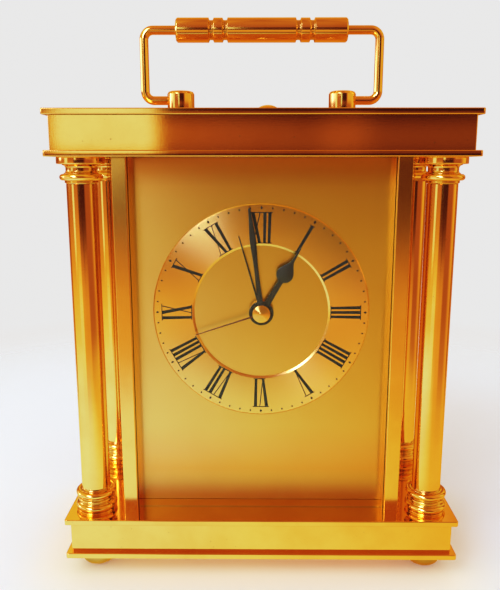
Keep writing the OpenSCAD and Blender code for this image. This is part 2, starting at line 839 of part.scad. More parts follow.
// coil spring between the bush floor and the button flange
module button_spring() {
    low = under_top - 5.95;
    height = 4.55;
    turns = 4;
    steps = 18 * turns;
    sides = 6;
    spring_r = 3.4;
    thick_r = 0.28;
    gap = 0.02;
    points = [for (i = [0:steps])
        let (t = i / steps, a = 360 * turns * t,
            z = low + thick_r + gap + (height - 2 * thick_r - 2 * gap) * t)
        for (j = [0:sides - 1]) let (b = 360 * j / sides + 30, r = spring_r + thick_r * cos(b))
            [r * cos(a), r * sin(a), z + thick_r * sin(b)]];
    faces = concat(
        [[for (j = [0:sides - 1]) j]],
        [for (i = [0:steps - 1]) for (j = [0:sides - 1]) let (k = (j + 1) % sides)
            [i * sides + j, (i + 1) * sides + j, (i + 1) * sides + k, i * sides + k]],
        [[for (j = [sides - 1:-1:0]) steps * sides + j]]);
    color(steel) translate([button_x, 0, 0]) polyhedron(points, faces);
}
// small contact switch under the button stem
module stop_switch() {
    color(black) slab([button_x - 3, -3, cornice_floor], [button_x + 3, 3, cornice_floor + 1.8]);
}
// two leads from the switch down to the movement
module switch_leads() {
    low = dial_z + move_high;
    color([0.7, 0.1, 0.1]) for (s = [-1, 1]) translate([button_x + s * 0.9, 0, 0]) {
        translate([0, lead_y]) zcyl(lead_r, low, lead_top - low, $fn = 24);
        translate([0, lead_y, lead_top]) sphere(r = lead_r, $fn = 24);
        translate([0, 0, lead_top]) ycyl(lead_r, lead_y, -3, $fn = 24);
    }
}

base_bottom_plate();
base_band();
base_top_plate();
bun_feet();
cornice_bottom_plate();
cornice_band();
cornice_top_plate();
column_shafts();
column_capitals();
column_bases();
tie_rods();
rod_bosses();
front_pilasters();
rear_posts();
post_screws();
side_panels();
front_glass();
dial_plate();
chapter_ring();
centre_nut();
back_door();
door_knob();
movement_front();
movement_back();
gear_bridge();
circuit_board();
quartz_crystal();
coil();
stator();
battery();
battery_contacts();
buzzer();
rotor();
intermediate_wheel();
seconds_wheel();
third_wheel();
centre_wheel();
motion_wheel();
hour_wheel();
alarm_wheel();
time_set_knob();
alarm_set_knob();
alarm_switch();
alarm_hand();
hour_hand();
minute_hand();
second_hand();
centre_cap();
handle_wire();
handle_grip();
handle_posts();
handle_post_screws();
alarm_button();
button_bush();
button_spring();
stop_switch();
switch_leads();
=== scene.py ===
import bpy
import bmesh
import json
import math
from mathutils import Vector, Matrix


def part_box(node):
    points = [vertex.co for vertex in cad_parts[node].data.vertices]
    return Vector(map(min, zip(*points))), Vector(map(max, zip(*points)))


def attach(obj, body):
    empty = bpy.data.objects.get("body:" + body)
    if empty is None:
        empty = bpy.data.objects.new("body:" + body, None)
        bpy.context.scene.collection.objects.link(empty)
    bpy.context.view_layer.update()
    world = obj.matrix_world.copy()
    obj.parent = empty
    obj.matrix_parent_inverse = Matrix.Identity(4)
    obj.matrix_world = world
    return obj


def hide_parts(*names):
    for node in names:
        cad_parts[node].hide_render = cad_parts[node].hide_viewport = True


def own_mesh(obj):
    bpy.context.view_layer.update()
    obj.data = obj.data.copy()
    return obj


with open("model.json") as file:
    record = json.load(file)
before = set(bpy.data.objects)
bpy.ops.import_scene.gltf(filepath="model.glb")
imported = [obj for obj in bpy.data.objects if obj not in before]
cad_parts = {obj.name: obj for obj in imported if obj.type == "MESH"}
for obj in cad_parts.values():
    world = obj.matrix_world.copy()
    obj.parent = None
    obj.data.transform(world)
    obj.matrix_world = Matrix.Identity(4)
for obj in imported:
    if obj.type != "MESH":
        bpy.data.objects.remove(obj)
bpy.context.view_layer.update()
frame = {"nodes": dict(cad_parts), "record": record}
NODES = frame["nodes"]
MM = 0.001


def bx(node):
    """CAD box of a node in millimetres."""
    lo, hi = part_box(node)
    return lo / MM, hi / MM


# ---------------------------------------------------------------- node helpers

class Tree:
    """Small helper for building shader node trees."""

    def __init__(self, tree):
        self.t = tree
        self.t.nodes.clear()

    def n(self, kind, **props):
        node = self.t.nodes.new(kind)
        for k, v in props.items():
            setattr(node, k, v)
        return node

    def put(self, socket, value):
        if value is None:
            return
        if isinstance(value, bpy.types.NodeSocket):
            self.t.links.new(value, socket)
        elif isinstance(value, bpy.types.Node):
            self.t.links.new(value.outputs[0], socket)
        else:
            if socket.type == "RGBA" and hasattr(value, "__len__") and len(value) == 3:
                value = (*value, 1.0)
            socket.default_value = value

    def math(self, op, a, b=None, c=None, clamp=False):
        node = self.n("ShaderNodeMath", operation=op, use_clamp=clamp)
        self.put(node.inputs[0], a)
        self.put(node.inputs[1], b)
        self.put(node.inputs[2], c)
        return node.outputs[0]

    def vmath(self, op, a, b=None, out=0):
        node = self.n("ShaderNodeVectorMath", operation=op)
        self.put(node.inputs[0], a)
        if b is not None:
            if op == "SCALE":
                self.put(node.inputs["Scale"], b)
            else:
                self.put(node.inputs[1], b)
        return node.outputs[out]

    def mix(self, fac, a, b, blend="MIX", clamp=False):
        node = self.n("ShaderNodeMix", data_type="RGBA", blend_type=blend, clamp_factor=True, clamp_result=clamp)
        self.put(node.inputs[0], fac)
        self.put(node.inputs[6], a)
        self.put(node.inputs[7], b)
        return node.outputs[2]

    def mixf(self, fac, a, b):
        node = self.n("ShaderNodeMix", data_type="FLOAT", clamp_factor=True)
        self.put(node.inputs[0], fac)
        self.put(node.inputs[2], a)
        self.put(node.inputs[3], b)
        return node.outputs[0]

    def ramp(self, fac, stops, interp="LINEAR"):
        node = self.n("ShaderNodeValToRGB")
        r = node.color_ramp
        r.interpolation = interp
        while len(r.elements) > 1:
            r.elements.remove(r.elements[-1])
        for i, (p, c) in enumerate(stops):
            e = r.elements[0] if i == 0 else r.elements.new(p)
            e.position = p
            if not hasattr(c, "__len__"):
                c = (c, c, c)
            e.color = (*c[:3], 1.0)
        self.put(node.inputs[0], fac)
        return node.outputs[0]

    def smooth(self, x, a, b):
        """0 below a, 1 above b, eased between."""
        node = self.n("ShaderNodeMapRange", interpolation_type="SMOOTHSTEP", clamp=True)
        self.put(node.inputs[0], x)
        self.put(node.inputs[1], a)
        self.put(node.inputs[2], b)
        node.inputs[3].default_value = 0.0
        node.inputs[4].default_value = 1.0
        return node.outputs[0]

    def band(self, x, lo, hi, soft):
        """1 between lo and hi with soft edges."""
        return self.math("MULTIPLY", self.smooth(x, lo - soft, lo + soft),
                         self.math("SUBTRACT", 1.0, self.smooth(x, hi - soft, hi + soft)))

    def noise(self, vec, scale, detail=2.0, rough=0.5, dist=0.0, out=0):
        node = self.n("ShaderNodeTexNoise")
        self.put(node.inputs["Vector"], vec)
        node.inputs["Scale"].default_value = scale
        node.inputs["Detail"].default_value = detail
        node.inputs["Roughness"].default_value = rough
        node.inputs["Distortion"].default_value = dist
        return node.outputs[out]

    def voronoi(self, vec, scale, feature="F1", out="Distance", rand=1.0):
        node = self.n("ShaderNodeTexVoronoi", feature=feature)
        self.put(node.inputs["Vector"], vec)
        node.inputs["Scale"].default_value = scale
        node.inputs["Randomness"].default_value = rand
        return node.outputs[out]

    def pos(self, scale=(1, 1, 1), move=(0, 0, 0)):
        """Object position in millimetres, moved then stretched."""
        tc = self.n("ShaderNodeTexCoord")
        m = self.n("ShaderNodeMapping", vector_type="POINT")
        self.put(m.inputs["Vector"], tc.outputs["Object"])
        m.inputs["Scale"].default_value = [1000 * s for s in scale]
        m.inputs["Location"].default_value = [-1.0 * a * s for a, s in zip(move, scale)]
        return m.outputs[0]

    def bump(self, height, dist_mm, strength=1.0, normal=None):
        node = self.n("ShaderNodeBump")
        node.inputs["Strength"].default_value = strength
        node.inputs["Distance"].default_value = dist_mm * MM
        self.put(node.inputs["Height"], height)
        if normal is not None:
            self.put(node.inputs["Normal"], normal)
        return node.outputs[0]

    def principled(self, **inputs):
        node = self.n("ShaderNodeBsdfPrincipled")
        for k, v in inputs.items():
            self.put(node.inputs[k.replace("_", " ")], v)
        return node

    def out(self, shader):
        o = self.n("ShaderNodeOutputMaterial")
        self.t.links.new(shader, o.inputs["Surface"])
        return o


MATS = {}


def material(name, build):
    m = bpy.data.materials.new(name)
    m.use_nodes = True
    t = Tree(m.node_tree)
    build(t)
    MATS[name] = m
    return m


BRASS = (0.95, 0.61, 0.17)
BRASS_PALE = (0.96, 0.64, 0.22)
BRASS_DEEP = (0.86, 0.47, 0.10)
TARNISH = (0.20, 0.085, 0.03)


def brass(name, rough=0.10, grain=None, grain_amt=0.0, aniso=0.0, tangent=None, centre=None,
          spots=1.0, tint=BRASS, tint2=BRASS_DEEP, scratch=1.0, wave=0.0, seed=0.0, coat=0.0, mottle=0.5, light_and_shade_by_height=None):
    """Brass sheet or turned brass.
    grain: stretch (x, y, z) of the fine brushed lines, or 'ring' for lines turned about a centre on the Y axis,
    tangent: direction in which highlights spread."""
    def build(t):
        p = t.pos(move=(seed, seed * 0.7, -seed * 1.3))
        # slow colour changes of old lacquer and handled metal
        cloud = t.noise(p, 0.055, 3.0, 0.55)
        cloud2 = t.noise(p, 0.35, 4.0, 0.6)
        base = t.mix(t.math("MULTIPLY", t.smooth(cloud, 0.38, 0.72), mottle), tint, tint2)
        base = t.mix(t.math("MULTIPLY", t.smooth(cloud2, 0.45, 0.8), 0.3 * mottle), base, tint2)
        # tarnish pits
        v = t.voronoi(p, 0.42)
        size = t.noise(p, 0.8, 2.0)
        pit = t.math("MULTIPLY", t.math("SUBTRACT", 1.0, t.smooth(v, 0.03, 0.11)), t.smooth(size, 0.52, 0.64))
        v2 = t.voronoi(t.vmath("ADD", p, (31.7, 11.3, 5.1)), 1.6)
        size2 = t.noise(p, 0.5, 2.0)
        pit2 = t.math("MULTIPLY", t.math("SUBTRACT", 1.0, t.smooth(v2, 0.05, 0.16)), t.smooth(size2, 0.55, 0.68))
        pits = t.math("MULTIPLY", t.math("MAXIMUM", pit, t.math("MULTIPLY", pit2, 0.7)), spots, clamp=True)
        # painted shade kept in the turned grooves, from a per-vertex value, broken up by noise
        at = t.n("ShaderNodeAttribute", attribute_name="cavity", attribute_type="GEOMETRY")
        groove_shade = t.math("MULTIPLY", at.outputs["Fac"], t.smooth(t.noise(p, 0.9, 3.0), 0.2, 0.75), clamp=True)
        col = t.mix(t.math("MULTIPLY", pits, 0.75), base, TARNISH)
        # darkens the grooves with painted shade
        col = t.mix(t.math("MULTIPLY", groove_shade, 0.40), col, (0.22, 0.08, 0.02))
        # fine scratches in two directions and wiping marks
        s1 = t.noise(t.pos(scale=(0.35, 0.35, 7.0), move=(seed, 0, 0)), 1.0, 2.0, 0.6)
        s2 = t.noise(t.pos(scale=(6.0, 0.5, 0.5), move=(0, seed, 3)), 1.0, 2.0, 0.6)
        s3 = t.noise(p, 0.9, 5.0, 0.7)
        marks = t.math("ADD", t.math("MULTIPLY", s1, 0.35), t.math("ADD", t.math("MULTIPLY", s2, 0.35), t.math("MULTIPLY", s3, 0.3)))
        height = t.math("MULTIPLY", marks, 0.0035 * scratch)
        if wave:
            height = t.math("ADD", height, t.math("MULTIPLY", t.noise(p, 0.06, 2.0, 0.4), wave))
        rgh = t.math("ADD", rough, t.math("MULTIPLY", t.math("SUBTRACT", marks, 0.5), (0.25 * rough + 0.05) * scratch))
        rgh = t.math("ADD", rgh, t.math("MULTIPLY", pits, 0.3))
        rgh = t.math("ADD", rgh, t.math("MULTIPLY", groove_shade, 0.06))
        if grain == "ring":
            tc = t.n("ShaderNodeTexCoord")
            rel = t.vmath("SUBTRACT", tc.outputs["Object"], tuple(c * MM for c in centre))
            sep = t.n("ShaderNodeSeparateXYZ")
            t.put(sep.inputs[0], rel)
            rad = t.math("MULTIPLY", t.math("SQRT", t.math("ADD", t.math("POWER", sep.outputs[0], 2.0), t.math("POWER", sep.outputs[2], 2.0))), 1000.0)
            ang = t.math("ARCTAN2", sep.outputs[0], sep.outputs[2])
            cmb = t.n("ShaderNodeCombineXYZ")
            t.put(cmb.inputs[0], t.math("MULTIPLY", rad, 9.0))
            t.put(cmb.inputs[1], t.math("MULTIPLY", ang, 1.2))
            g = t.noise(cmb.outputs[0], 1.0, 3.0, 0.65)
            height = t.math("ADD", height, t.math("MULTIPLY", g, grain_amt))
            col = t.mix(t.math("MULTIPLY", t.smooth(g, 0.5, 0.8), 0.25), col, tint2)
            rd = t.n("ShaderNodeCombineXYZ")
            t.put(rd.inputs[0], sep.outputs[0])
            t.put(rd.inputs[2], sep.outputs[2])
            tan = t.vmath("NORMALIZE", rd.outputs[0])
        else:
            tan = tangent
            if grain:
                g = t.noise(t.pos(scale=grain, move=(0, 0, 0)), 1.0, 3.0, 0.65)
                height = t.math("ADD", height, t.math("MULTIPLY", g, grain_amt))
                col = t.mix(t.math("MULTIPLY", t.smooth(g, 0.45, 0.8), 0.18), col, tint2)
        if light_and_shade_by_height:
            # painted light and shade by height, standing in for the room reflected in the plate: [(mm above the table,
            # multiplier)]
            sz = t.n("ShaderNodeSeparateXYZ")
            t.put(sz.inputs[0], t.pos())
            z0, z1 = light_and_shade_by_height[0][0], light_and_shade_by_height[-1][0]
            f = t.math("DIVIDE", t.math("SUBTRACT", sz.outputs[2], z0), z1 - z0, clamp=True)
            col = t.mix(1.0, col, t.ramp(f, [((z - z0) / (z1 - z0), v) for z, v in light_and_shade_by_height]), "MULTIPLY")
        nrm = t.bump(height, 1.0)
        b = t.principled(Base_Color=col, Metallic=1.0, Roughness=rgh, Normal=nrm, Anisotropic=aniso)
        b.inputs["Specular Tint"].default_value = (1.0, 0.80, 0.48, 1.0)
        if coat:
            b.inputs["Coat Weight"].default_value = coat
            b.inputs["Coat Roughness"].default_value = 0.06
        if tan is not None and aniso:
            if isinstance(tan, tuple):
                c = t.n("ShaderNodeCombineXYZ")
                for i in range(3):
                    c.inputs[i].default_value = tan[i]
                tan = c.outputs[0]
            t.put(b.inputs["Tangent"], tan)
        t.out(b.outputs[0])
    return material(name, build)


def paint(name, colour, rough=0.45, metal=0.0, grain=1.2, bump=0.01, spec=0.5, vary=0.25):
    """Painted, moulded or coated surface with a fine texture."""
    def build(t):
        p = t.pos()
        fine = t.noise(p, grain, 4.0, 0.6)
        slow = t.noise(p, grain * 0.12, 3.0, 0.5)
        dark = tuple(c * (1 - vary) for c in colour)
        light = tuple(min(1.0, c * (1 + vary)) for c in colour)
        col = t.mix(t.smooth(slow, 0.35, 0.65), dark, light)
        rgh = t.math("ADD", rough - 0.1, t.math("MULTIPLY", fine, 0.2))
        nrm = t.bump(t.math("MULTIPLY", fine, bump), 1.0)
        b = t.principled(Base_Color=col, Metallic=metal, Roughness=rgh, Normal=nrm)
        b.inputs["Specular IOR Level"].default_value = spec
        t.out(b.outputs[0])
    return material(name, build)


def glass_mat(name):
    def build(t):
        p = t.pos()
        fr = t.n("ShaderNodeFresnel")
        fr.inputs["IOR"].default_value = 1.5
        tr = t.n("ShaderNodeBsdfTransparent")
        # the cut edge is greener than the face, seen as the sides turn away
        geo = t.n("ShaderNodeNewGeometry")
        sep = t.n("ShaderNodeSeparateXYZ")
        t.put(sep.inputs[0], geo.outputs["True Normal"])
        face = t.math("ABSOLUTE", sep.outputs[1])
        t.put(tr.inputs[0], t.mix(t.smooth(face, 0.2, 0.8), (0.90, 0.96, 0.92), (0.985, 0.99, 0.985)))
        gl = t.n("ShaderNodeBsdfGlossy")
        gl.inputs["Color"].default_value = (1, 1, 1, 1)
        smear = t.noise(t.pos(scale=(0.02, 0.02, 0.05)), 1.0, 3.0)
        t.put(gl.inputs["Roughness"], t.math("MULTIPLY", t.smooth(smear, 0.4, 0.9), 0.02))
        mx = t.n("ShaderNodeMixShader")
        t.put(mx.inputs[0], t.math("MULTIPLY", fr.outputs[0], t.math("ADD", 0.13, t.math("MULTIPLY", smear, 0.06))))
        t.put(mx.inputs[1], tr.outputs[0])
        t.put(mx.inputs[2], gl.outputs[0])
        t.out(mx.outputs[0])
    return material(name, build)


# ---------------------------------------------------------------- mesh helpers

def finish_mesh(name, bm, body, mat, replaces=(), angle=32, weighted=False, cavity=None):
    bmesh.ops.recalc_face_normals(bm, faces=bm.faces)
    me = bpy.data.meshes.new(name)
    bm.to_mesh(me)
    bm.free()
    for p in me.polygons:
        p.use_smooth = True
    me.set_sharp_from_angle(angle=math.radians(angle))
    ob = bpy.data.objects.new(name, me)
    bpy.context.scene.collection.objects.link(ob)
    for m in (mat if isinstance(mat, (list, tuple)) else [mat]):
        me.materials.append(m)
    if weighted:
        w = ob.modifiers.new("edges", "WEIGHTED_NORMAL")
        w.mode = "FACE_AREA"
        w.weight = 60
        w.keep_sharp = True
    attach(ob, body)
    if replaces:
        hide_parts(*replaces)
    return ob


def fillet(pts, radii, n=5):
    """Rounds the corners of an open polyline. pts: [(a, b)], radii: one per point (0 keeps it sharp)."""
    out = []
    for i, p in enumerate(pts):
        r = radii[i] if hasattr(radii, "__len__") else radii
        if i in (0, len(pts) - 1) or r <= 0:
            out.append(p)
            continue
        a, b, c = Vector(pts[i - 1]), Vector(p), Vector(pts[i + 1])
        u, v = (a - b), (c - b)
        lu, lv = u.length, v.length
        u.normalize()
        v.normalize()
        ang = u.angle(v)
        if ang > math.radians(176):
            out.append(p)
            continue
        d = min(r / math.tan(ang / 2), lu * 0.48, lv * 0.48)
        rr = d * math.tan(ang / 2)
        s, e = b + u * d, b + v * d
        cen = b + (u + v).normalized() * (rr / math.sin(ang / 2))
        a0 = math.atan2(s.y - cen.y, s.x - cen.x)
        a1 = math.atan2(e.y - cen.y, e.x - cen.x)
        da = (a1 - a0 + math.pi) % (2 * math.pi) - math.pi
        for k in range(n + 1):
            t = a0 + da * k / n
            out.append((cen.x + rr * math.cos(t), cen.y + rr * math.sin(t)))
    clean = [out[0]]
    for p in out[1:]:
        if (Vector(p) - Vector(clean[-1])).length > 1e-4:
            clean.append(p)
    return clean


def arc(cx, cy, r, a0, a1, n=10):
    """Points on an arc, angles in degrees."""
    return [(cx + r * math.cos(math.radians(a0 + (a1 - a0) * k / n)), cy + r * math.sin(math.radians(a0 + (a1 - a0) * k / n))) for k in range(n + 1)]


def cavity_of(prof):
    """0 on convex parts of a profile, up to 1 in its grooves."""
    n = len(prof)
    out = [0.0] * n
    turn_way = sum(prof[i - 1][0] * prof[i][1] - prof[i][0] * prof[i - 1][1] for i in range(n))
    way = 1.0 if turn_way >= 0 else -1.0
    for i in range(1, n - 1):
        a, b, c = Vector(prof[i - 1]), Vector(prof[i]), Vector(prof[i + 1])
        u, v = b - a, c - b
        if u.length < 1e-6 or v.length < 1e-6:
            continue
        turn = math.atan2(u.x * v.y - u.y * v.x, u.dot(v))
        out[i] = max(0.0, -turn * way)
    sm = []
    for i in range(n):
        tot, wt = 0.0, 0.0
        for j in range(max(0, i - 4), min(n, i + 5)):
            d = (Vector(prof[i]) - Vector(prof[j])).length
            w = math.exp(-(d / 0.35) ** 2)
            tot += w * out[j]
            wt += w
        sm.append(min(1.0, 1.3 * tot))
    return sm


def lathe(bm, prof, centre, axis="Z", segs=96, layer=None, flip=False):
    """Revolves an (r, h) profile in mm about an axis through centre. The profile starts and ends on the axis, or closes."""
    cav = cavity_of(prof)
    rings = []
    closed = prof[0][0] > 1e-6 or prof[-1][0] > 1e-6
    cx, cy, cz = centre

    def place(r, h, a):
        if axis == "Z":
            return (cx + r * math.cos(a), cy + r * math.sin(a), cz + h)
        if axis == "Y":
            return (cx + r * math.cos(a), cy + h, cz + r * math.sin(a))
        return (cx + h, cy + r * math.cos(a), cz + r * math.sin(a))

    for i, (r, h) in enumerate(prof):
        if r < 1e-6:
            v = bm.verts.new(Vector(place(0, h, 0)) * MM)
            if layer:
                v[layer] = cav[i]
            rings.append([v])
        else:
            ring = []
            for k in range(segs):
                v = bm.verts.new(Vector(place(r, h, 2 * math.pi * k / segs)) * MM)
                if layer:
                    v[layer] = cav[i]
                ring.append(v)
            rings.append(ring)
    pairs = list(zip(rings, rings[1:]))
    if closed:
        pairs.append((rings[-1], rings[0]))
    for a, b in pairs:
        if len(a) == 1 and len(b) == 1:
            continue
        for k in range(segs):
            k2 = (k + 1) % segs
            if len(a) == 1:
                bm.faces.new((a[0], b[k2], b[k]))
            elif len(b) == 1:
                bm.faces.new((a[k], a[k2], b[0]))
            else:
                bm.faces.new((a[k], a[k2], b[k2], b[k]))


def new_bm():
    bm = bmesh.new()
    layer = bm.verts.layers.float.new("cavity")
    return bm, layer


def rounded_rect(x, y, r, n=8):
    """Corner-rounded rectangle, half sizes x and y."""
    out = []
    for cx, cy, a0 in ((x - r, y - r, 0), (-x + r, y - r, 90), (-x + r, -y + r, 180), (x - r, -y + r, 270)):
        for k in range(n + 1):
            a = math.radians(a0 + 90 * k / n)
            out.append((cx + r * math.cos(a), cy + r * math.sin(a)))
    return out


def box_bevel(bm, lo, hi, edge=0.25, segs=3):
    """Bevelled block from its two corners, mm."""
    vs = [bm.verts.new(Vector((x, y, z)) * MM) for x in (lo[0], hi[0]) for y in (lo[1], hi[1]) for z in (lo[2], hi[2])]
    idx = [(0, 1, 3, 2), (4, 6, 7, 5), (0, 4, 5, 1), (2, 3, 7, 6), (0, 2, 6, 4), (1, 5, 7, 3)]
    fs = [bm.faces.new([vs[i] for i in f]) for f in idx]
    es = list({e for f in fs for e in f.edges})
    bmesh.ops.bevel(bm, geom=es, offset=edge * MM, segments=segs, profile=0.5, affect="EDGES")


def top_place(u, v, w):
    return (u, v, w)


def prism_holes(bm, outer, holes, z0, z1, place, edge=0.3, segs=3, hole_edge=0.15):
    """Closed prism with through holes; every loop is [(u, v)], rims are rounded."""
    from mathutils.geometry import tessellate_polygon

    def area(l):
        return sum(l[i - 1][0] * l[i][1] - l[i][0] * l[i - 1][1] for i in range(len(l))) / 2

    def shift(l, d):
        res, n = [], len(l)
        for i, p in enumerate(l):
            a, b, q = Vector(l[i - 1]), Vector(p), Vector(l[(i + 1) % n])
            e1, e2 = (b - a).normalized(), (q - b).normalized()
            n1, n2 = Vector((-e1.y, e1.x)), Vector((-e2.y, e2.x))
            m = (n1 + n2).normalized()
            k = d / max(0.35, m.dot(n1))
            res.append((b.x + m.x * k, b.y + m.y * k))
        return res

    loops_def = [(outer if area(outer) > 0 else list(reversed(outer)), edge)]
    loops_def += [(h if area(h) < 0 else list(reversed(h)), hole_edge) for h in holes]
    bottoms, tops = [], []
    for loop, e in loops_def:
        if e > 0:
            lv = [(e * (1 - math.sin(math.pi / 2 * k / segs)), z0 + e * (1 - math.cos(math.pi / 2 * k / segs))) for k in range(segs + 1)]
            lv += [(e * (1 - math.sin(math.pi / 2 * k / segs)), z1 - e * (1 - math.cos(math.pi / 2 * k / segs))) for k in range(segs, -1, -1)]
        else:
            lv = [(0, z0), (0, z1)]
        rows = []
        for d, z in lv:
            pts = shift(loop, d) if d > 1e-9 else loop
            rows.append(([bm.verts.new(Vector(place(u, v, z)) * MM) for u, v in pts], pts))
        for (a, _), (b, _) in zip(rows, rows[1:]):
            n = len(a)
            for i in range(n):
                j = (i + 1) % n
                bm.faces.new((a[i], a[j], b[j], b[i]))
        bottoms.append(rows[0])
        tops.append(rows[-1])
    for rows, flip in ((bottoms, True), (tops, False)):
        if len(rows) == 1 and len(rows[0][0]) <= 64:
            f = rows[0][0]
            bm.faces.new(list(reversed(f)) if flip else f)
            continue
        tris = tessellate_polygon([[Vector((u, v, 0)) for u, v in pts] for _, pts in rows])
        verts = [v for vs, _ in rows for v in vs]
        for t in tris:
            f = [verts[i] for i in t]
            if len(set(f)) == 3:
                try:
                    bm.faces.new(f)
                except ValueError:
                    pass


def circle(cx, cy, r, n=64):
    return [(cx + r * math.cos(2 * math.pi * k / n), cy + r * math.sin(2 * math.pi * k / n)) for k in range(n)]


def cut(ob, lo, hi, radius, segs=48):
    """Drills a round hole from lo to hi (mm) through ob."""
    bm = bmesh.new()
    a, b = Vector(lo) * MM, Vector(hi) * MM
    bmesh.ops.create_cone(bm, cap_ends=True, segments=segs, radius1=radius * MM, radius2=radius * MM, depth=(b - a).length,
                          matrix=Matrix.Translation((a + b) / 2) @ (b - a).to_track_quat("Z", "Y").to_matrix().to_4x4())
    me = bpy.data.meshes.new("cutter")
    bm.to_mesh(me)
    bm.free()
    c = bpy.data.objects.new("cutter", me)
    bpy.context.scene.collection.objects.link(c)
    m = ob.modifiers.new("hole", "BOOLEAN")
    m.operation = "DIFFERENCE"
    m.solver = "EXACT"
    m.object = c
    bpy.context.view_layer.update()
    dg = bpy.context.evaluated_depsgraph_get()
    new = bpy.data.meshes.new_from_object(ob.evaluated_get(dg))
    ob.modifiers.remove(m)
    old = ob.data
    ob.data = new
    bpy.data.meshes.remove(old)
    bpy.data.objects.remove(c)
    bpy.data.meshes.remove(me)
    for p in ob.data.polygons:
        p.use_smooth = True
    ob.data.set_sharp_from_angle(angle=math.radians(32))
    return ob


# ---------------------------------------------------------------- materials

cr_lo, cr_hi = bx("chapter_ring")
DIAL = Vector(((cr_lo.x + cr_hi.x) / 2, cr_lo.y, (cr_lo.z + cr_hi.z) / 2))
UP = (0.0, 0.0, 1.0)

m_sheet = brass("brass_sheet", rough=0.07, wave=0.004, seed=3.0)
m_band = brass("brass_band", rough=0.05, wave=0.004, seed=11.0, tangent=UP, aniso=0.3)
m_turned = brass("brass_turned", rough=0.10, grain=(0.3, 0.3, 9.0), grain_amt=0.002, seed=21.0, spots=1.2)
# the feet use a darker copy of the brass: painted shade
m_feet_shaded = brass("brass_feet_painted_shade", rough=0.13, grain=(0.3, 0.3, 9.0), grain_amt=0.002, seed=25.0, spots=1.4, tint=(0.44, 0.25, 0.08))
m_grip = brass("brass_grip", rough=0.12, grain=(9.0, 0.3, 0.3), grain_amt=0.003, seed=31.0, spots=0.5)
m_wire = brass("brass_wire", rough=0.10, seed=41.0, spots=0.8)
m_button = brass("brass_button", rough=0.08, grain=(0.3, 0.3, 9.0), grain_amt=0.002, seed=51.0, spots=0.4)
# the dial plate's multipliers by height are painted light and shade: darker and redder under the cornice, paler around
# the middle
m_panel = brass("brass_dial_plate", rough=0.29, grain=(7.0, 1.0, 0.08), grain_amt=0.0012, tangent=UP, aniso=0.85, seed=61.0, spots=0.0, scratch=0.0, mottle=0.12, tint=(1.0, 0.69, 0.215),
                light_and_shade_by_height=[(21.5, (0.96, 1, 0.85)), (28, (0.98, 1, 0.85)), (34, (1, 0.77, 0.58)), (41, (1, 0.85, 0.82)), (51, (1, 1, 1)), (80, (1, 1.04, 1.05)), (120, (1, 1.12, 1.05)), (133, (0.99, 1.05, 1)), (138, (0.97, 0.92, 0.85)), (143, (0.86, 0.58, 0.5)), (148, (0.72, 0.42, 0.4))])
m_pilaster = brass("brass_pilaster", rough=0.16, grain=(9.0, 9.0, 0.15), grain_amt=0.003, tangent=UP, aniso=0.5, seed=71.0, spots=0.4)
m_ring = brass("brass_ring", rough=0.26, grain="ring", grain_amt=0.0015, aniso=0.85, centre=DIAL, seed=81.0, spots=0.0, scratch=0.0, mottle=0.1, tint=(1.0, 0.70, 0.24))
m_spun = brass("brass_spun_cap", rough=0.28, grain="ring", grain_amt=0.002, aniso=0.9, centre=DIAL, seed=91.0, spots=0.0, scratch=0.0, mottle=0.1)
m_door = brass("brass_door", rough=0.18, grain=(9.0, 2.0, 0.15), grain_amt=0.003, tangent=UP, aniso=0.6, seed=101.0, spots=0.5)
m_side = brass("brass_side_panel", rough=0.14, grain=(2.0, 9.0, 0.15), grain_amt=0.003, tangent=UP, aniso=0.5, seed=111.0, spots=0.6)
m_inner = brass("brass_inner", rough=0.3, seed=121.0, spots=1.0, tint=BRASS_DEEP)
m_glass = glass_mat("clear_glass")
m_black = paint("hand_black", (0.012, 0.013, 0.016), rough=0.42, grain=2.5, bump=0.004)
m_ink = paint("numeral_ink", (0.010, 0.010, 0.013), rough=0.55, grain=3.0, bump=0.002, spec=0.3)
m_second = paint("second_hand_red", (0.09, 0.012, 0.008), rough=0.35, grain=2.5, bump=0.003)
m_steel = paint("zinc_steel", (0.55, 0.56, 0.58), rough=0.32, metal=1.0, grain=1.5, bump=0.006)
m_plastic = paint("black_plastic", (0.022, 0.022, 0.024), rough=0.5, grain=4.0, bump=0.012)
m_redplastic = paint("red_plastic", (0.55, 0.03, 0.02), rough=0.42, grain=4.0, bump=0.006)
m_gear = paint("gear_plastic", (0.72, 0.72, 0.66), rough=0.45, grain=3.0, bump=0.004, vary=0.08)
m_board = paint("board_green", (0.02, 0.13, 0.05), rough=0.35, grain=2.0, bump=0.01)
m_copper = paint("copper_wire", (0.72, 0.28, 0.13), rough=0.3, metal=1.0, grain=5.0, bump=0.04)
m_battery = paint("battery_sleeve", (0.035, 0.05, 0.075), rough=0.28, grain=1.0, bump=0.004)
m_lead = paint("lead_sleeve", (0.5, 0.03, 0.02), rough=0.4, grain=3.0, bump=0.01)
m_magnet = paint("magnet_grey", (0.10, 0.10, 0.11), rough=0.45, metal=0.6, grain=3.0, bump=0.006)

SLOT_MATS = {
    "polished_brass": m_sheet, "satin_brass": m_panel, "ring_brass": m_ring, "glass": m_glass, "black_paint": m_black,
    "dark_red_paint": m_second, "steel": m_steel, "black_plastic": m_plastic, "red_plastic": m_redplastic,
    "gear_plastic": m_gear, "board": m_board, "copper_wire": m_copper, "battery_sleeve": m_battery,
    "lead_sleeve": m_lead, "magnet": m_magnet,
}
for n, ob in NODES.items():
    sub = next((s for s in frame["record"].get("subparts", []) if s.get("node") == n), {})
    mat = SLOT_MATS.get(sub.get("material_slot") or sub.get("material") or "", m_inner)
    ob.data.materials.clear()
    ob.data.materials.append(mat)
for n, m in {"rod_bosses": m_inner, "button_bush": m_inner, "buzzer": m_inner, "centre_nut": m_spun, "dial_plate": m_panel}.items():
    NODES[n].data.materials.clear()
    NODES[n].data.materials.append(m)

# ---------------------------------------------------------------- plates and bands

